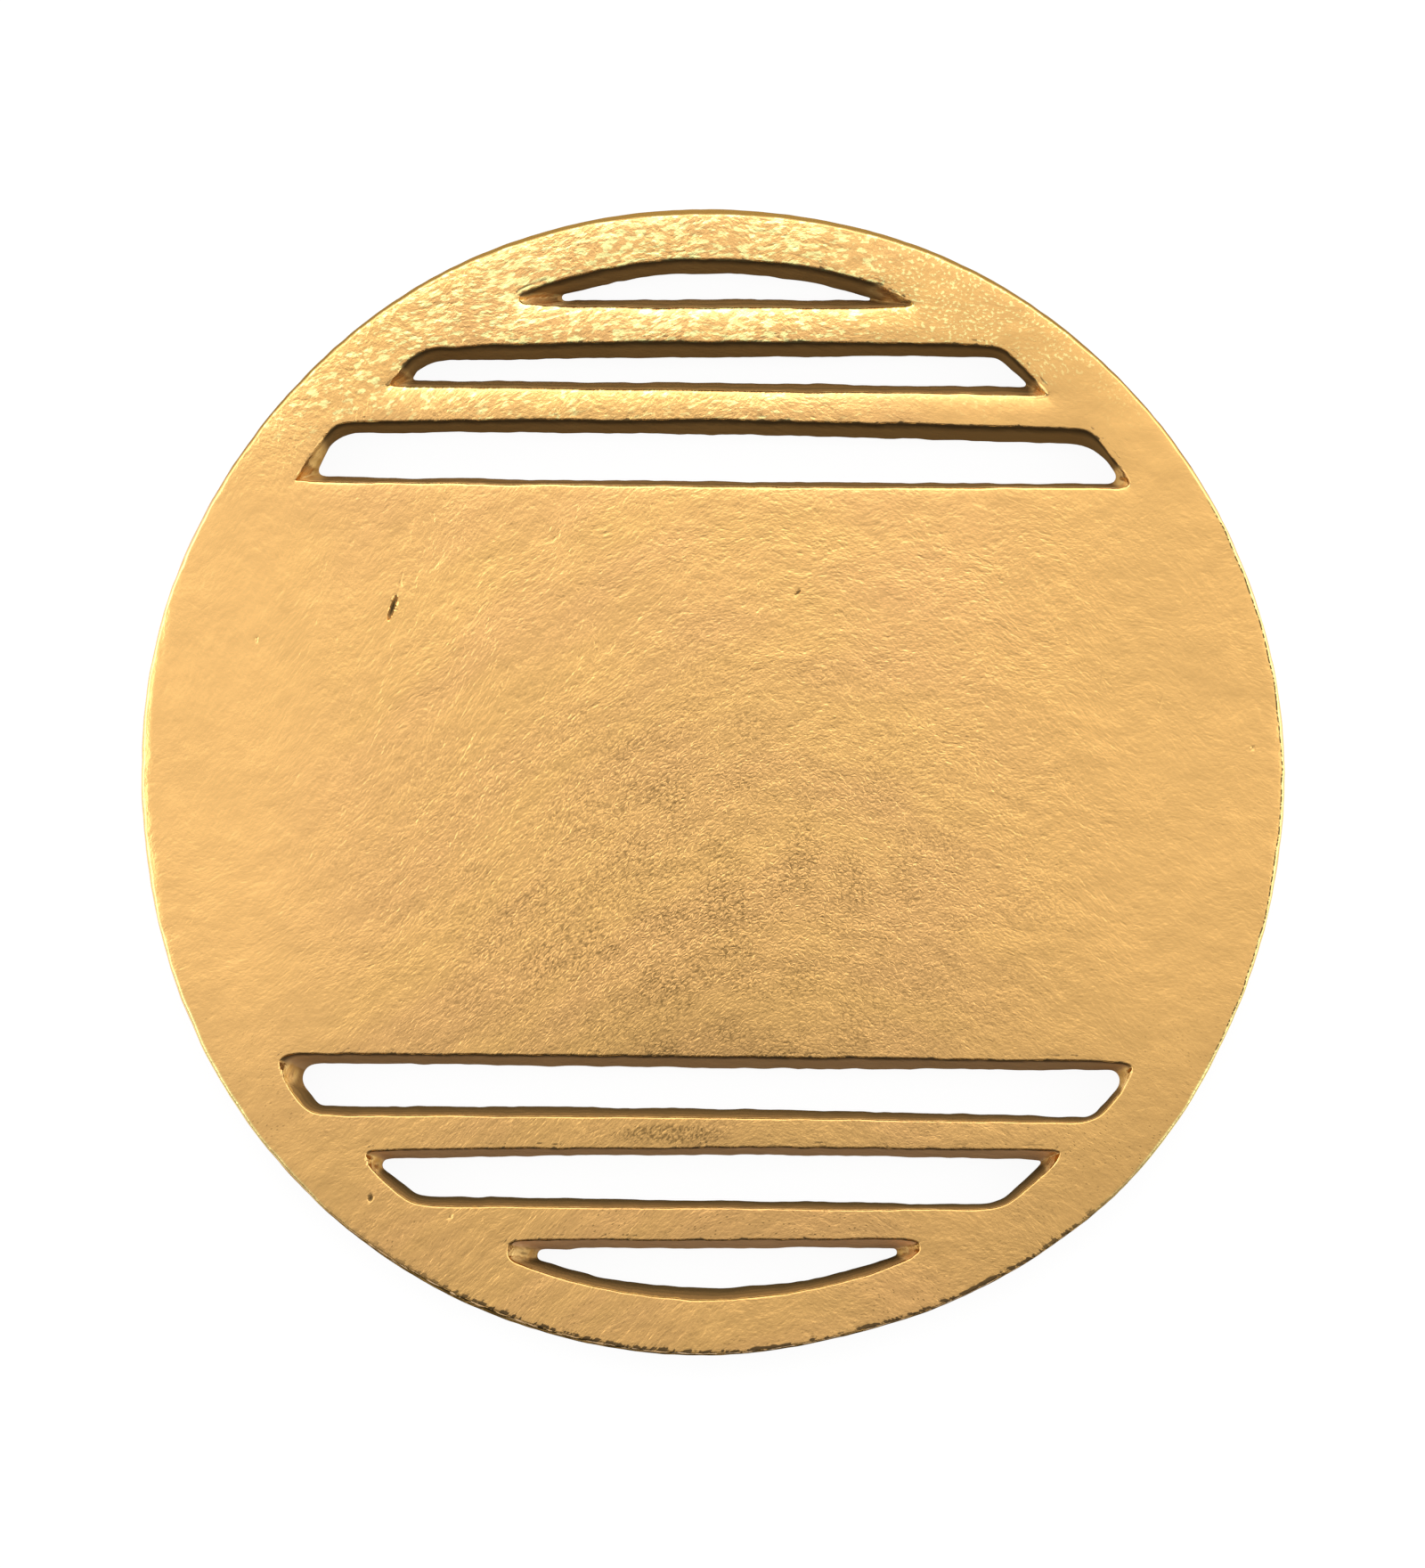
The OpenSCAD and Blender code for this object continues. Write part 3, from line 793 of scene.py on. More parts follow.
at_wall = np.clip(deep / 0.05, 0, 1) * np.clip((1 - deep) / 0.2, 0, 1)
golden = np.zeros(len(skin))
for x, y, half_wide, half_high in LUMPY_ENDS:
    away = (skin[:, :2] - (at_x(x), at_y(y))) / (np.array([half_wide, half_high]) * pixel)
    golden = np.maximum(golden, np.clip(1.6 * (1 - (away ** 2).sum(axis=1)), 0, 1))
golden *= np.clip(deep / 0.02, 0, 1) * np.clip((1 - deep) / 0.05, 0, 1)
lumps = 0.3 + hills(skin[:, 0] / LUMP_SIZE, skin[:, 1] / LUMP_SIZE, 141)
push = LUMP_RISE * lumps * golden * at_wall
inner = np.hypot(*skin[:, :2].T) < plate_r - 3 * MM
wave = hills(skin[:, 0] / END_ROUGH_SIZE + skin[:, 2] / (2 * MM), skin[:, 1] / END_ROUGH_SIZE, 131)
push += END_ROUGH * wave * at_wall * inner * (1 - np.abs(above))
skin += outward(skin, skin_faces) * push[:, None]


# %% The piece
def new_piece(name, points, faces, material, slot, *nodes):
    """A smooth mesh piece that rides on the body and stands for its solids."""
    mesh = bpy.data.meshes.new(name)
    mesh.from_pydata([tuple(spot) for spot in points], [], faces)
    mesh.validate()
    mesh.shade_smooth()
    piece = bpy.data.objects.new(name, mesh)
    bpy.context.scene.collection.objects.link(piece)
    mesh.materials.append(material)
    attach(piece, "root")
    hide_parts(*nodes)
    return piece


gold, gold_tree, gold_inputs = new_material("gold_casting")
casting = new_piece("plate_casting", skin, skin_faces, gold, "gold_casting", "cast_plate")
for name, values in (("lip", lip), ("deep", deep), ("above", above), ("hurt", hurt), ("golden", golden)):
    carried = casting.data.attributes.new(name, "FLOAT", "POINT")
    carried.data.foreach_set("value", values.astype(np.float32))
casting.data.set_sharp_from_angle(angle=math.radians(50))
print("casting:", len(casting.data.vertices), "points,", len(casting.data.polygons), "faces")

# %% [markdown]
# ## The gold finish: effects that materials share
# A cast or moulded skin is never even. The grain of streaks and wrinkles and the soft blotches
# are used on the casting, the rubber and the zinc, so each is a small group of nodes, and so are
# the leathery cells of the casting. All are patterns in space, counted per metre, so they keep
# their real size on every piece.

# %% Groups for grain, leather and blotches
NUMBER, VECTOR = "NodeSocketFloat", "NodeSocketVector"


def new_group(name, inputs, *outputs):
    """An empty node group: the group, its inputs as values and its output sockets."""
    group = bpy.data.node_groups.new(name, "ShaderNodeTree")
    for label, kind in inputs.items():
        group.interface.new_socket(label, in_out="INPUT", socket_type=kind)
    for label in outputs:
        group.interface.new_socket(label, in_out="OUTPUT", socket_type=NUMBER)
    given = group.nodes.new("NodeGroupInput").outputs
    return group, [Value(given[label]) for label in inputs], group.nodes.new("NodeGroupOutput").inputs


def use(group, **values):
    """A group's outputs by name, with its inputs filled. A name is written with _ for each space."""
    sockets = {name.replace("_", " ").title(): value for name, value in values.items()}
    outputs = add_node(values["place"].tree, "Group", sockets, node_tree=group).outputs
    return {output.name: Value(output) for output in outputs}


grain_inputs = {"Place": VECTOR, "Long": NUMBER, "High": NUMBER, "Swirl": NUMBER}
grain, (spot, long, high, swirl), made = new_group("cast_grain", grain_inputs, "Height", "Crevice", "Pits")
bend = noise(spot, 90.0, 0.0, out="Color").vector("SUBTRACT", (0.5, 0.5, 0.5))
bent = spot.vector("ADD", bend.vector("MULTIPLY", point(swirl, swirl, swirl)))
counted = bent.vector("MULTIPLY", point(long, high, high))
streaks = noise(counted, 1.0, 2.0, Roughness=0.62)
cell = cells(counted, 0.8).outputs
cell_distance = Value(cell["Distance"])
chosen = Value(cell["Color"]).parts()[0].ramp(0.7, 0.9)
(cell_distance * -0.35 + streaks).feed(made["Height"])
streaks.ramp(0.52, 0.36).feed(made["Crevice"])
(cell_distance.ramp(0.3, 0.1) * chosen).feed(made["Pits"])

pattern_inputs = {"Place": VECTOR, "Per Metre": NUMBER}
leathery, (spot, per_metre), made = new_group("leather_cells", pattern_inputs, "Height", "Crevice")
shaken = noise(spot, 700.0, 1.0, out="Color").vector("MULTIPLY", (0.0012, 0.0012, 0.0))
shaken = shaken.vector("ADD", spot).vector("MULTIPLY", (0.85, 1.1, 1.0))
seams = Value(cells(shaken, per_metre, feature="DISTANCE_TO_EDGE").outputs["Distance"])
seams.ramp(0.0, 0.4).feed(made["Height"])
seams.ramp(0.22, 0.03).feed(made["Crevice"])

blotch, (spot, per_metre), made = new_group("soft_blotches", pattern_inputs, "Mask")
noise(spot, per_metre, 2.0, dimensions="3D").ramp(0.35, 0.65).feed(made["Mask"])

# %% [markdown]
# ## The gold finish: which way the wrinkles run
# On the face the wrinkles lie in wide arcs round the lower middle: they rise steeply at its left,
# lie flat at the top and are even at the sides. So the place that their pattern is read from has
# its Y bent by a soft valley. Down a wall both its values change with the height, and on the
# rim's side the place is the run round the rim and the height, so that nothing is drawn out.

# %% The place of the pattern
ARC_MIDDLE, ARC_WIDE, ARC_BEND = at_x(900), 300 * pixel, 400 * pixel
SIDE_DRAWN = 0.45  # how much of the height counts on the rim's side

place = place_in(gold_tree)
place_x, place_y, place_z = place.parts()
point_values = [add_node(gold_tree, "Attribute", attribute_name=name).outputs["Fac"]
                for name in ("deep", "lip", "above", "hurt", "golden")]
deep_value, lip_value, above_value, hurt_value, golden_value = map(Value, point_values)
from_middle = place.vector("MULTIPLY", (1, 1, 0)).vector("LENGTH", out=1)
at_rim = from_middle.ramp(plate_r - 4 * MM, plate_r - 3 * MM)

across = (place_x - ARC_MIDDLE).maths("DIVIDE", ARC_WIDE)
valley = 1 - (across * across * -0.5).maths("EXPONENT")
valley = valley * place_x.ramp(ARC_MIDDLE, ARC_MIDDLE + 200 * pixel, 1.0, 0.4)
flatter_up = place_y.ramp(at_y(1050), at_y(300), ARC_BEND, 0.25 * ARC_BEND)
on_face = point(place_x + place_z, valley * flatter_up + place_y + place_z)
on_rim = point(place_y.maths("ARCTAN2", place_x) * plate_r, place_z * SIDE_DRAWN)
at_side = (deep_value * at_rim).maths("GREATER_THAN", 0.03) * deep_value.maths("LESS_THAN", 0.99)
arcs = blend(at_side, on_face, on_rim, "VECTOR")

# %% [markdown]
# ## The gold finish: where it differs
# The finish differs in places: the lower middle of the field is wrinkled like leather and
# darker with painted shade, the top is full of bright flecks that are painted highlights, and the
# sides are nearly smooth. Such places are soft ovals and soft steps along X or Y, read off the
# photograph in pixels.

# %% Where the finish differs
def oval(x, y, half_wide, half_high, edge):
    """A mask that is 1 in an oval and fades to 0 at its border. The edge is the share that fades."""
    away = place.vector("SUBTRACT", (at_x(x), at_y(y), 0))
    away = away.vector("MULTIPLY", (1 / (half_wide * pixel), 1 / (half_high * pixel), 0))
    return away.vector("LENGTH", out=1).ramp(1.0, 1.0 - edge)


soft_patches = use(blotch, place=arcs.vector("MULTIPLY", (0.6, 1.5, 1.0)), per_metre=44.0)["Mask"]
fine_patches = use(blotch, place=place, per_metre=110.0)["Mask"]
leather = oval(810, 1010, 540, 440, 0.85) * soft_patches.ramp(0.0, 1.0, 0.7, 1.0)
leather = leather * place_x.ramp(10 * MM, 60 * MM, 1.0, 0.9)
# An oval low in the middle that is darkened with painted shade
painted_shade_oval = oval(775, 1160, 190, 90, 0.9)
rough_patch = oval(750, 1272, 90, 16, 0.6)
bright_top = place_y.ramp(at_y(640), at_y(480))
low_part = place_y.ramp(at_y(960), at_y(1390))
far_aside = abs(place_x).ramp(45 * MM, 85 * MM)
# Where painted light brightens the gold at the left and painted shade darkens it at the right
painted_light_left = place_x.ramp(at_x(460), at_x(240))
painted_shade_right = place_x.ramp(at_x(1000), at_x(1240))
right_rim = place_x.ramp(85 * MM, 90 * MM)
fleck_share = place_y.ramp(at_y(560), at_y(300))
fleck_side = place_x.ramp(at_x(1100), at_x(880))

# %% [markdown]
# ## The gold finish: colours of the face
# The gold itself is one colour with soft warmer patches. It is paler at the left and deeper at
# the right, as in the photograph: painted light and painted shade. Near the top, long streaks are
# painted pale as bright highlights. Crevices in the leathery patch are olive where polish was
# never wiped out, and the lower part, the leathery patch and an oval low in the middle are
# darkened with painted shade.

# %% Gold, painted highlights, and painted shade with patina
# The pale gold is painted light at the left, the right gold painted shade at the right, the palest yellow a
# painted highlight, and the olive both painted shade and patina
GOLD, ROSE_GOLD, PAINTED_LIGHT_GOLD = (0.80, 0.468, 0.158), (0.765, 0.43, 0.166), (0.86, 0.50, 0.174)
PAINTED_SHADE_GOLD, HIGHLIGHT_GOLD, OLIVE = (0.765, 0.445, 0.148), (1.0, 0.92, 0.38), (0.25, 0.145, 0.048)

fine = use(grain, place=arcs, long=1300.0, high=1800.0, swirl=0.003)
coarse = use(grain, place=arcs, long=480.0, high=760.0, swirl=0.005)
streaky = use(grain, place=arcs, long=460.0, high=1250.0, swirl=0.0015)
wrinkles = use(leathery, place=arcs, per_metre=1250.0)
mottle = noise(arcs, 270.0, 2.0)

colour = blend(soft_patches * 0.6, GOLD, ROSE_GOLD)
# Painted light at the left and painted shade at the right
colour = blend(painted_light_left, colour, PAINTED_LIGHT_GOLD)
colour = blend(painted_shade_right, colour, PAINTED_SHADE_GOLD)

# Bright flecks near the top: painted highlights, a pale colour where light would shine
fleck_size = blend(fleck_side, fine["Height"], streaky["Height"], "FLOAT")
fleck_density = fleck_share * (fleck_side * 0.62 + 0.38) * (fine_patches * 0.6 + 0.6)
painted_highlights = (fleck_density * 0.15 + fleck_size).ramp(0.46, 0.6)
colour = blend(painted_highlights * fleck_density.ramp(0.05, 0.4, 0.0, 0.85), colour, HIGHLIGHT_GOLD)

folds = (wrinkles["Crevice"] * (fine["Crevice"] * 0.6 + 0.4)).at_least(fine["Crevice"] * 0.7)
crevice = folds * leather * fine_patches.ramp(0.0, 1.0, 0.35, 1.0)
crevice = crevice.at_least(folds * rough_patch)
pits = fine["Pits"] * low_part * 0.5 * soft_patches
# Painted shade low in the picture, in the leathery patch and in the oval low in the middle; the crevices and
# pits are darker too
painted_shade_and_patina = low_part * 0.37 + leather * 0.18 + painted_shade_oval * 0.11 + crevice * 0.95 + pits
colour = blend(painted_shade_and_patina.maths("MINIMUM", 1.0), colour, OLIVE)

# %% [markdown]
# ## The gold finish: dark lines
# Under an upper lip the wall faces away from the light and is painted almost black as painted
# shade, and the line frays out in the sand's grain. Walls that face up have one soft brown line
# half way down, and in the lower group they darken towards the back with painted shade. Both
# follow the distance from the lip, moved a little by the coarse grain. On the rim the black is
# wider, broken by flecks, and less shade is painted at the lower left and further down its side.

# %% Dark lines at the lips
THICK = plate_t / MM  # the plate's thickness in millimetres

# How far a point is from the lip in millimetres, more than 0 on the face and less down the wall
from_lip = lip_value - deep_value * THICK
ragged = coarse["Height"] - 0.35 + from_lip
upper_lip = (above_value - at_rim * 0.2).ramp(0.35, 0.65)
lower_lip = above_value.ramp(-0.35, -0.65)
at_end = 1 - (upper_lip + lower_lip)

middle_line = abs(ragged + 3.6).ramp(1.1, 0.2, 0.0, 0.5)
# In the lower group the walls darken towards the back: painted shade deep in the slot
middle_line = middle_line.at_least(ragged.ramp(-2.6, -6.0, 0.0, 0.75) * low_part)
middle_line = middle_line * lower_lip * (1 - at_rim)

# Painted shade: near black under the upper lips, on walls that face away from the light
painted_shade_line = (ragged - at_rim * 0.4).ramp(0.0, -0.25)
fading = (ragged + at_rim * 9.0).ramp(low_part * 2.7 - 4.0, -0.4, 0.2 - low_part * 0.2, 0.9)
dashes = abs(from_lip - 0.62).ramp(0.22, 0.08, 0.0, 0.75) * coarse["Height"].ramp(0.29, 0.2)
painted_shade_line = (painted_shade_line * fading).at_least(dashes * fine_patches) * upper_lip
rim_flecks = coarse["Height"].ramp(0.34, 0.4, 0.0, 0.85) * at_rim * upper_lip
rim_flecks = rim_flecks * from_lip.ramp(-4.2, -1.8, 0.35, 1.0)
# Less painted shade further down the rim's side and at its lower left
less_shade_down_rim = from_lip.ramp(-1.8, -4.2) * at_rim * 0.65
less_shade_left = place_x.ramp(at_x(560), at_x(360), 0.0, 0.65) * at_rim
for shade_breaker in (rim_flecks, less_shade_down_rim, less_shade_left):
    painted_shade_line = painted_shade_line * (1 - shade_breaker)

# All dark lines together: painted shade under upper lips and deep in the lower slots, the soft middle line
# and the marks
dark_lines = painted_shade_line.at_least(middle_line).at_least(hurt_value) * (1 - golden_value * 0.7)
rim_dashes = abs(from_lip - 0.12).ramp(0.18, 0.06) * right_rim * fine["Height"].ramp(0.46, 0.34)
dark_lines = dark_lines.at_least(rim_dashes * at_rim)

# %% [markdown]
# ## The gold finish: walls, ends and back
# The walls of the slots are brown and dull, partly as cast and partly as painted shade of the
# slot, and lighter in the lower group; their tone changes with the way they face, as painted light
# and shade. The lumpy ends are paler where they face up the picture and browner where they face
# down, painted light and shade, keep their gold on the crests as painted highlights and turn brown
# further in. The back is a guess: duller and browner gold, as if it was only brushed over.

# %% Colours of the walls, the ends and the back
# A slot's end low in the picture and high in it, as painted light and painted shade, and the painted
# highlight on the crests of its lumps
END_LIT_GOLD, END_SHADED_BROWN, END_HIGHLIGHT = (0.92, 0.55, 0.20), (0.58, 0.32, 0.11), (1.0, 0.70, 0.28)
# Walls that face down the picture, in the upper and in the lower group, and walls that face up it:
# painted light and shade of one brown
WALL_UNDER, WALL_UNDER_LOW, WALL_OVER = (0.31, 0.18, 0.06), (0.62, 0.385, 0.20), (0.22, 0.12, 0.04)
# The near black is painted shade under the upper lips; the dark brown colours the other dark lines, partly
# painted shade deep in the slots, the marks and the back's crevices
WALL_DARK, PAINTED_SHADE_BLACK = (0.072, 0.05, 0.02), (0.02, 0.014, 0.008)
WALL_END, RIM_BROWN = (0.36, 0.20, 0.065), (0.34, 0.19, 0.045)
BACK_GOLD, BACK_BROWN = (0.56, 0.335, 0.12), (0.40, 0.235, 0.09)

# The walls' tones by facing and by group: painted light and shade
wall_colour = blend(low_part, WALL_UNDER, WALL_UNDER_LOW)
wall_colour = blend(upper_lip, WALL_OVER, wall_colour)
wall_colour = blend(at_end, wall_colour, WALL_END)
wall_colour = blend(at_rim, wall_colour, RIM_BROWN)
back_colour = blend(fine_patches, BACK_GOLD, BACK_BROWN)
back_colour = blend(fine["Crevice"] * 0.5, back_colour, WALL_DARK)

back = deep_value.ramp(0.975, 0.999)
bare = (at_rim * at_end).at_least(rim_flecks)
wall = (at_end + ragged).ramp(-0.5, -1.0) * (1 - bare) * (1 - back)
# A painted highlight along the lip at the rim's left and right
painted_rim_highlight = from_lip.ramp(0.3, -0.1, 0.0, 0.6) * from_lip.ramp(-2.4, -1.2) * at_rim * at_end
colour = blend(painted_rim_highlight, colour, HIGHLIGHT_GOLD)
# Ends paler where they face up the picture and browner where they face down: painted light and shade
colour = blend(golden_value, colour, blend(above_value.ramp(0.6, -0.5), END_SHADED_BROWN, END_LIT_GOLD))
# Painted highlights on the crests of the lumps
colour = blend(golden_value * mottle.ramp(0.44, 0.6, 0.0, 0.7), colour, END_HIGHLIGHT)
colour = blend(golden_value * deep_value.ramp(0.3, 0.9, 0.0, 0.75), colour, WALL_END)
colour = blend(wall * (1 - golden_value * 0.9), colour, wall_colour)
# Dark lines: near-black painted shade under upper lips, dark brown elsewhere
colour = blend(dark_lines, colour, blend(upper_lip, WALL_DARK, PAINTED_SHADE_BLACK))
colour = blend(back, colour, back_colour)
colour.feed(gold_inputs["Base Color"])

# %% [markdown]
# ## The gold finish: dullness and grain
# Gold mirrors, while the near-black painted shade and the brown walls don't, so every dark or bare place is
# less metallic and rougher too.
# The grain is one height made of the coarse and the fine streaks, the leathery cells and soft
# mottles. It is strong at the upper left and in the middle, and weaker at the sides and low in
# the picture. It is too fine for the mesh, so it only bends the light.

# %% Dullness and grain of the casting
GRAIN_DEEP = 0.075 * MM

dull_wall = (wall * (0.95 - golden_value * 0.58)).at_least(dark_lines).at_least(back * 0.55)
(1 - dull_wall).feed(gold_inputs["Metallic"])
(fine_patches * 0.07 + 0.19).at_least(dull_wall * 0.75).feed(gold_inputs["Roughness"])
gold_inputs["Specular IOR Level"].default_value = 0.0
gold_inputs["Specular Tint"].default_value = (1.0, 0.76, 0.44, 1)

strength = (1.28 - far_aside * 0.72) * (1 - leather * 0.35) * (1 - low_part * 0.32)
strength = strength.at_least(bright_top * (fleck_side * 0.9 + 0.6))
calm = bright_top * (1 - fleck_side)
strength = (strength * (1 - calm * 0.7)).at_least(back * 1.8)
height = coarse["Height"].maths("MINIMUM", 0.33) * 1.5 + fine["Height"] * 0.8
height = height * strength + wrinkles["Height"] * leather * 0.5
unrest = (2.4 - far_aside * 0.9) * (1 - calm * 0.5)
height = height + mottle * unrest - pits * 0.5
soft_lumps = mottle * 5.0 + coarse["Height"] * 2.5
height = height * (1 - golden_value * 0.7) + soft_lumps * golden_value
bump(height, GRAIN_DEEP, gold_inputs["Normal"])

# %% [markdown]
# ## Round pieces
# Feet, washers and screws are all round. Feet and washers come from one tool: a profile of
# corners in millimetres, each with its own rounding, is turned about the upright axis. Real
# edges are never sharp, and the small roundings catch the light.

# %% Turn a profile
ROUNDING_SHARES = (0, 0.25, 0.5, 0.75, 1)  # where the points of a rounded corner lie on its arc


def rounded(corners):
    """The closed profile with its corners rounded. A corner is a radius, a height and a rounding."""
    line = []
    for number, (r, z, rounding) in enumerate(corners):
        corner = Vector((r, z))
        before = (Vector(corners[number - 1][:2]) - corner).normalized()
        after = (Vector(corners[(number + 1) % len(corners)][:2]) - corner).normalized()
        half = before.angle(after) / 2
        start = corner + before * rounding / math.tan(half)
        end = corner + after * rounding / math.tan(half)
        middle = corner + (before + after).normalized() * rounding / math.sin(half)
        for share in ROUNDING_SHARES:
            towards = (start - middle).slerp(end - middle, share)  # always one unit long
            line.append((middle + towards * rounding)[:])
    return line


def turn_profile(line, steps, wave=None):
    """Points in mm and faces of a turned solid. wave(angle, r) may change a point's radius."""
    points, faces = [], []
    for step in range(steps):
        angle = 2 * math.pi * step / steps
        for r, z in line:
            reach_out = wave(angle, r) if wave else r
            points.append((reach_out * math.cos(angle), reach_out * math.sin(angle), z))
    count = len(line)
    for step in range(steps):
        this, following = step * count, (step + 1) % steps * count
        for number in range(count):
            ahead = (number + 1) % count
            faces.append((this + number, following + number, following + ahead, this + ahead))
    return points, faces


def place_four(name, points, faces, material, slot, node):
    """The same piece at all four feet, from points in mm round a foot's axis."""
    pieces = []
    for corner in CORNERS:
        middle = foot_centre(corner)
        spots = [(middle[0] + x * MM, middle[1] + y * MM, z * MM) for x, y, z in points]
        pieces.append(new_piece(name + corner, spots, faces, material, slot, node + corner))
    return pieces


# %% [markdown]
# ## The rubber feet
# A foot is moulded rubber: a short cone with a round standing ring, two shallow grooves that let
# it give a little, and the thin line where the two halves of its mould met. Under it, a recess
# holds the washer and the screw's head. Rubber is dull, and chalky dust stays low on its side.

# %% Rubber
RUBBER, CHALKY = (0.022, 0.021, 0.020), (0.075, 0.070, 0.064)

rubber, rubber_tree, rubber_inputs = new_material("foot_rubber")
rubber_place = place_in(rubber_tree)
dusty = use(blotch, place=rubber_place, per_metre=420.0)["Mask"]
rubber_grain = use(grain, place=rubber_place, long=2600.0, high=2600.0, swirl=0.001)
low_down = rubber_place.parts()[2].ramp(2.2 * MM, 0.1 * MM)
blend(dusty * (low_down * 0.6 + 0.2), RUBBER, CHALKY).feed(rubber_inputs["Base Color"])
(dusty * 0.2 + 0.55).feed(rubber_inputs["Roughness"])
bump(rubber_grain["Height"], 0.03 * MM, rubber_inputs["Normal"])

# %% Feet
FOOT_TOP_R, FOOT_BASE_R, FOOT_H = 5.5, 5.1, 5.5
HOLE_R, RECESS_R, RECESS_H = 1.7, 3.8, 3.3
GROOVES_AT, GROOVE_W, GROOVE_DEEP, GROOVE_ROUND = (1.9, 3.1), 0.45, 0.22, 0.08
MOULD_LINE, MOULD_LINE_W = 0.05, 0.05  # in mm and in radians
MOULD_LINE_FROM = RECESS_R + 0.8  # only the outside, beyond this radius, has the line
SIDE_IN = 0.06  # the side lies this far in, so that the mould line stays in the solid
FOOT_STEPS = 96


def side_r(z):
    """The cone's radius at a height."""
    return FOOT_BASE_R + (FOOT_TOP_R - FOOT_BASE_R) * z / FOOT_H - SIDE_IN


def mould_line(angle, r):
    """A foot's radius, raised a little at the two mould lines on its outside."""
    if r < MOULD_LINE_FROM:
        return r
    away = (angle + math.pi / 2) % math.pi - math.pi / 2
    return r + MOULD_LINE * math.exp(-(away / MOULD_LINE_W) ** 2)


foot_profile = [(HOLE_R, FOOT_H, 0.15), (HOLE_R, RECESS_H, 0.1), (RECESS_R, RECESS_H, 0.3),
                (RECESS_R, 0, 0.22), (side_r(0), 0, 0.6)]
for z in GROOVES_AT:
    for inwards, up in ((0, -0.5), (GROOVE_DEEP, -0.25), (GROOVE_DEEP, 0.25), (0, 0.5)):
        foot_profile.append((side_r(z) - inwards, z + up * GROOVE_W, GROOVE_ROUND))
foot_profile.append((side_r(FOOT_H), FOOT_H, 0.25))
foot_points, foot_faces = turn_profile(rounded(foot_profile), FOOT_STEPS, mould_line)
place_four("rubber_foot_", foot_points, foot_faces, rubber, "foot_rubber", "foot_")

# %% [markdown]
# ## Washers and screws
# Both are zinc-plated steel. A washer is stamped, so one of its sides has rounded edges and the
# other a tiny burr. The screw has a pan head with a cross recess, and a rolled thread that sits
# in the casting's tapped hole.

# %% Zinc
STEEL, BLUISH = (0.56, 0.57, 0.58), (0.42, 0.45, 0.50)


def zinc(name, rough):
    """Zinc plating: a cool metal with cloudy patches and fine marks."""
    material, tree, inputs = new_material(name)
    spot = place_in(tree)
    cloudy = use(blotch, place=spot, per_metre=600.0)["Mask"]
    marks = use(grain, place=spot, long=1800.0, high=5200.0, swirl=0.002)
    blend(cloudy * 0.6, STEEL, BLUISH).feed(inputs["Base Color"])
    (cloudy * 0.15 + rough).feed(inputs["Roughness"])
    bump(marks["Height"], 0.006 * MM, inputs["Normal"])
    inputs["Metallic"].default_value = 1.0
    return material


washer_zinc = zinc("washer_steel", 0.32)
screw_zinc = zinc("screw_steel", 0.24)

# %% Washers
WASHER_STEPS = 80

washer_profile = [(1.6, 2.8, 0.05), (3.5, 2.8, 0.03), (3.5, 3.3, 0.16), (1.6, 3.3, 0.12)]
washer_points, washer_faces = turn_profile(rounded(washer_profile), WASHER_STEPS)
place_four("stamped_washer_", washer_points, washer_faces, washer_zinc, "washer_steel", "washer_")

# %% [markdown]
# ## The screw in detail
# The thread is a shallow spiral: going round once lifts it by one pitch. It grows out of the
# shank and runs out again. The cross recess is pressed in, so its arms get narrower with depth,
# as the driver's tip does. All sizes are in millimetres.

# %% Rings of the screw
HEAD_R, HEAD_BASE, HEAD_TOP, SHANK_R, SCREW_END = 2.8, 0.6, 2.8, 1.5, 8.8
FLAT_R = 1.9  # the flat middle of the head
PITCH, THREAD_DEEP, THREAD_FREE = 0.5, 0.2, 0.35  # the last is the plain stretch at each end
PITCH_RINGS, GROWING_RINGS = 6, 9
ROUND = 48
# The cross: half the length and half the width of its arms, and how deep that is
CROSS = ((1.5, 0.35, 0), (1.32, 0.25, 0.6), (0.7, 0.16, 1.1))
CROSS_CORNERS = 12


def circle_at(r, z, lift=None):
    """A ring of points. lift(angle) may change the radius."""
    ring = []
    for step in range(ROUND):
        angle = 2 * math.pi * step / ROUND
        reach_out = lift(angle) if lift else r
        ring.append((reach_out * math.cos(angle), reach_out * math.sin(angle), z))
    return ring


def cross_at(half_long, half_wide, z):
    """The outline of a cross, from its right arm anticlockwise."""
    arm = [(half_long, -half_wide), (half_long, half_wide), (half_wide, half_wide)]
    return [(x * c - y * s, x * s + y * c, z) for c, s in ((1, 0), (0, 1), (-1, 0), (0, -1)) for x, y in arm]


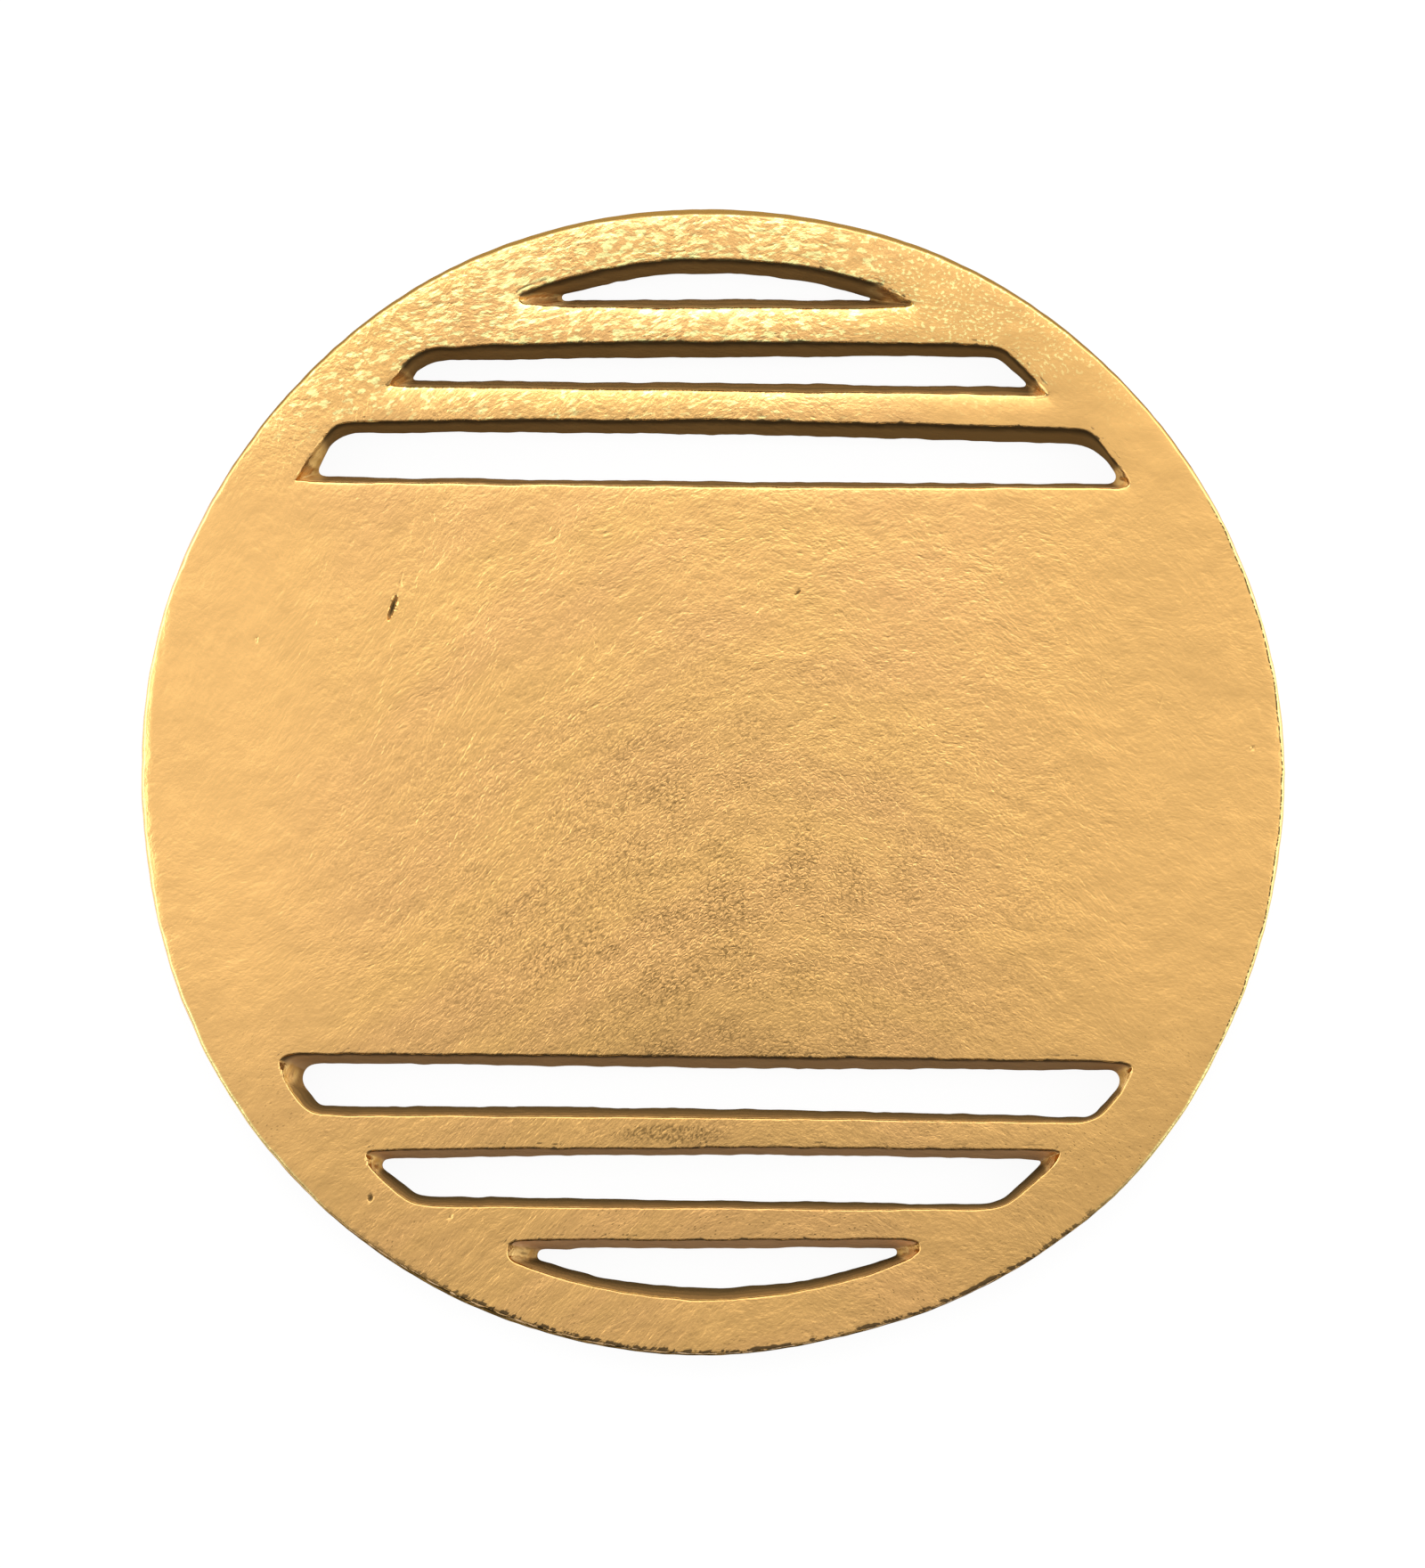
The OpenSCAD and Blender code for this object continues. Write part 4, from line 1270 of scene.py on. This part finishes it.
def screw_rings():
    """The rings of the screw's outside, from the edge of the head's flat up to its end."""
    rings = [circle_at(FLAT_R, HEAD_BASE)]
    edge = HEAD_R - FLAT_R
    for turn in np.radians((18, 36, 54, 72, 90)):
        rings.append(circle_at(FLAT_R + edge * math.sin(turn), HEAD_BASE + edge * (1 - math.cos(turn))))
    for r, z in ((HEAD_R, HEAD_TOP - 0.12), (HEAD_R - 0.04, HEAD_TOP - 0.03), (HEAD_R - 0.12, HEAD_TOP),
                 (SHANK_R + 0.05, HEAD_TOP), (SHANK_R - 0.02, HEAD_TOP + 0.06)):
        rings.append(circle_at(r, z))
    count = int((SCREW_END - HEAD_TOP - 2 * THREAD_FREE) / (PITCH / PITCH_RINGS))
    for number in range(count):
        z = HEAD_TOP + THREAD_FREE + number * PITCH / PITCH_RINGS
        grown = min(1, number / GROWING_RINGS, (count - number) / GROWING_RINGS)

        def thread(angle):
            phase = (z / PITCH - angle / (2 * math.pi)) % 1
            return SHANK_R - 0.02 - THREAD_DEEP * grown * abs(2 * phase - 1)

        rings.append(circle_at(SHANK_R, z, thread))
    rings.append(circle_at(SHANK_R - 0.06, SCREW_END - 0.2))
    rings.append(circle_at(SHANK_R - 0.25, SCREW_END))
    return rings


# %% Faces of the screw
screw_points, screw_faces, rows = [], [], []
for ring in screw_rings() + [cross_at(*sides, HEAD_BASE + depth) for *sides, depth in CROSS]:
    rows.append(range(len(screw_points), len(screw_points) + len(ring)))
    screw_points.extend(ring)
*outside, mouth_row, middle_row, floor_row = rows
for lower, upper in zip(outside, outside[1:]):
    for step in range(ROUND):
        ahead = (step + 1) % ROUND
        screw_faces.append((lower[step], lower[ahead], upper[ahead], upper[step]))
screw_faces.append(tuple(outside[-1]))
for lower, upper in ((mouth_row, middle_row), (middle_row, floor_row)):
    for step in range(CROSS_CORNERS):
        ahead = (step + 1) % CROSS_CORNERS
        screw_faces.append((lower[ahead], lower[step], upper[step], upper[ahead]))
for first in range(0, CROSS_CORNERS, 3):
    screw_faces.append(tuple(floor_row[first + corner] for corner in (2, 1, 0, -1)))
screw_faces.append(tuple(floor_row[first + 2] for first in (9, 6, 3, 0)))

# %% [markdown]
# ## The flat of the screw's head
# The flat round the cross lies between a circle and a cross, which quads can't join evenly. The
# same Delaunay net as on the casting fills it, and the triangles inside the cross are left out.

# %% Flat of the head
flat_numbers = [*outside[0], *mouth_row]
flat_edges = [(n, (n + 1) % ROUND) for n in range(ROUND)]
flat_edges += [(ROUND + n, ROUND + (n + 1) % CROSS_CORNERS) for n in range(CROSS_CORNERS)]
flat_xy = [Vector(screw_points[number][:2]) for number in flat_numbers]
_, _, flat_triangles, flat_from, _, _ = delaunay_2d_cdt(flat_xy, flat_edges, [], 0, 1e-6)
for triangle in flat_triangles:
    numbers = [flat_from[number][0] for number in triangle]
    middle = sum((flat_xy[number] for number in numbers), Vector((0, 0))) / 3
    near, far = sorted((abs(middle.x), abs(middle.y)))
    in_cross = far < CROSS[0][0] and near < CROSS[0][1]
    if not in_cross:
        screw_faces.append(tuple(flat_numbers[number] for number in numbers[::-1]))
for screw in place_four("pan_head_screw_", screw_points, screw_faces, screw_zinc, "screw_steel", "screw_"):
    screw.data.set_sharp_from_angle(angle=math.radians(35))
print("a foot has", len(foot_faces), "faces, a washer", len(washer_faces), "and a screw", len(screw_faces))
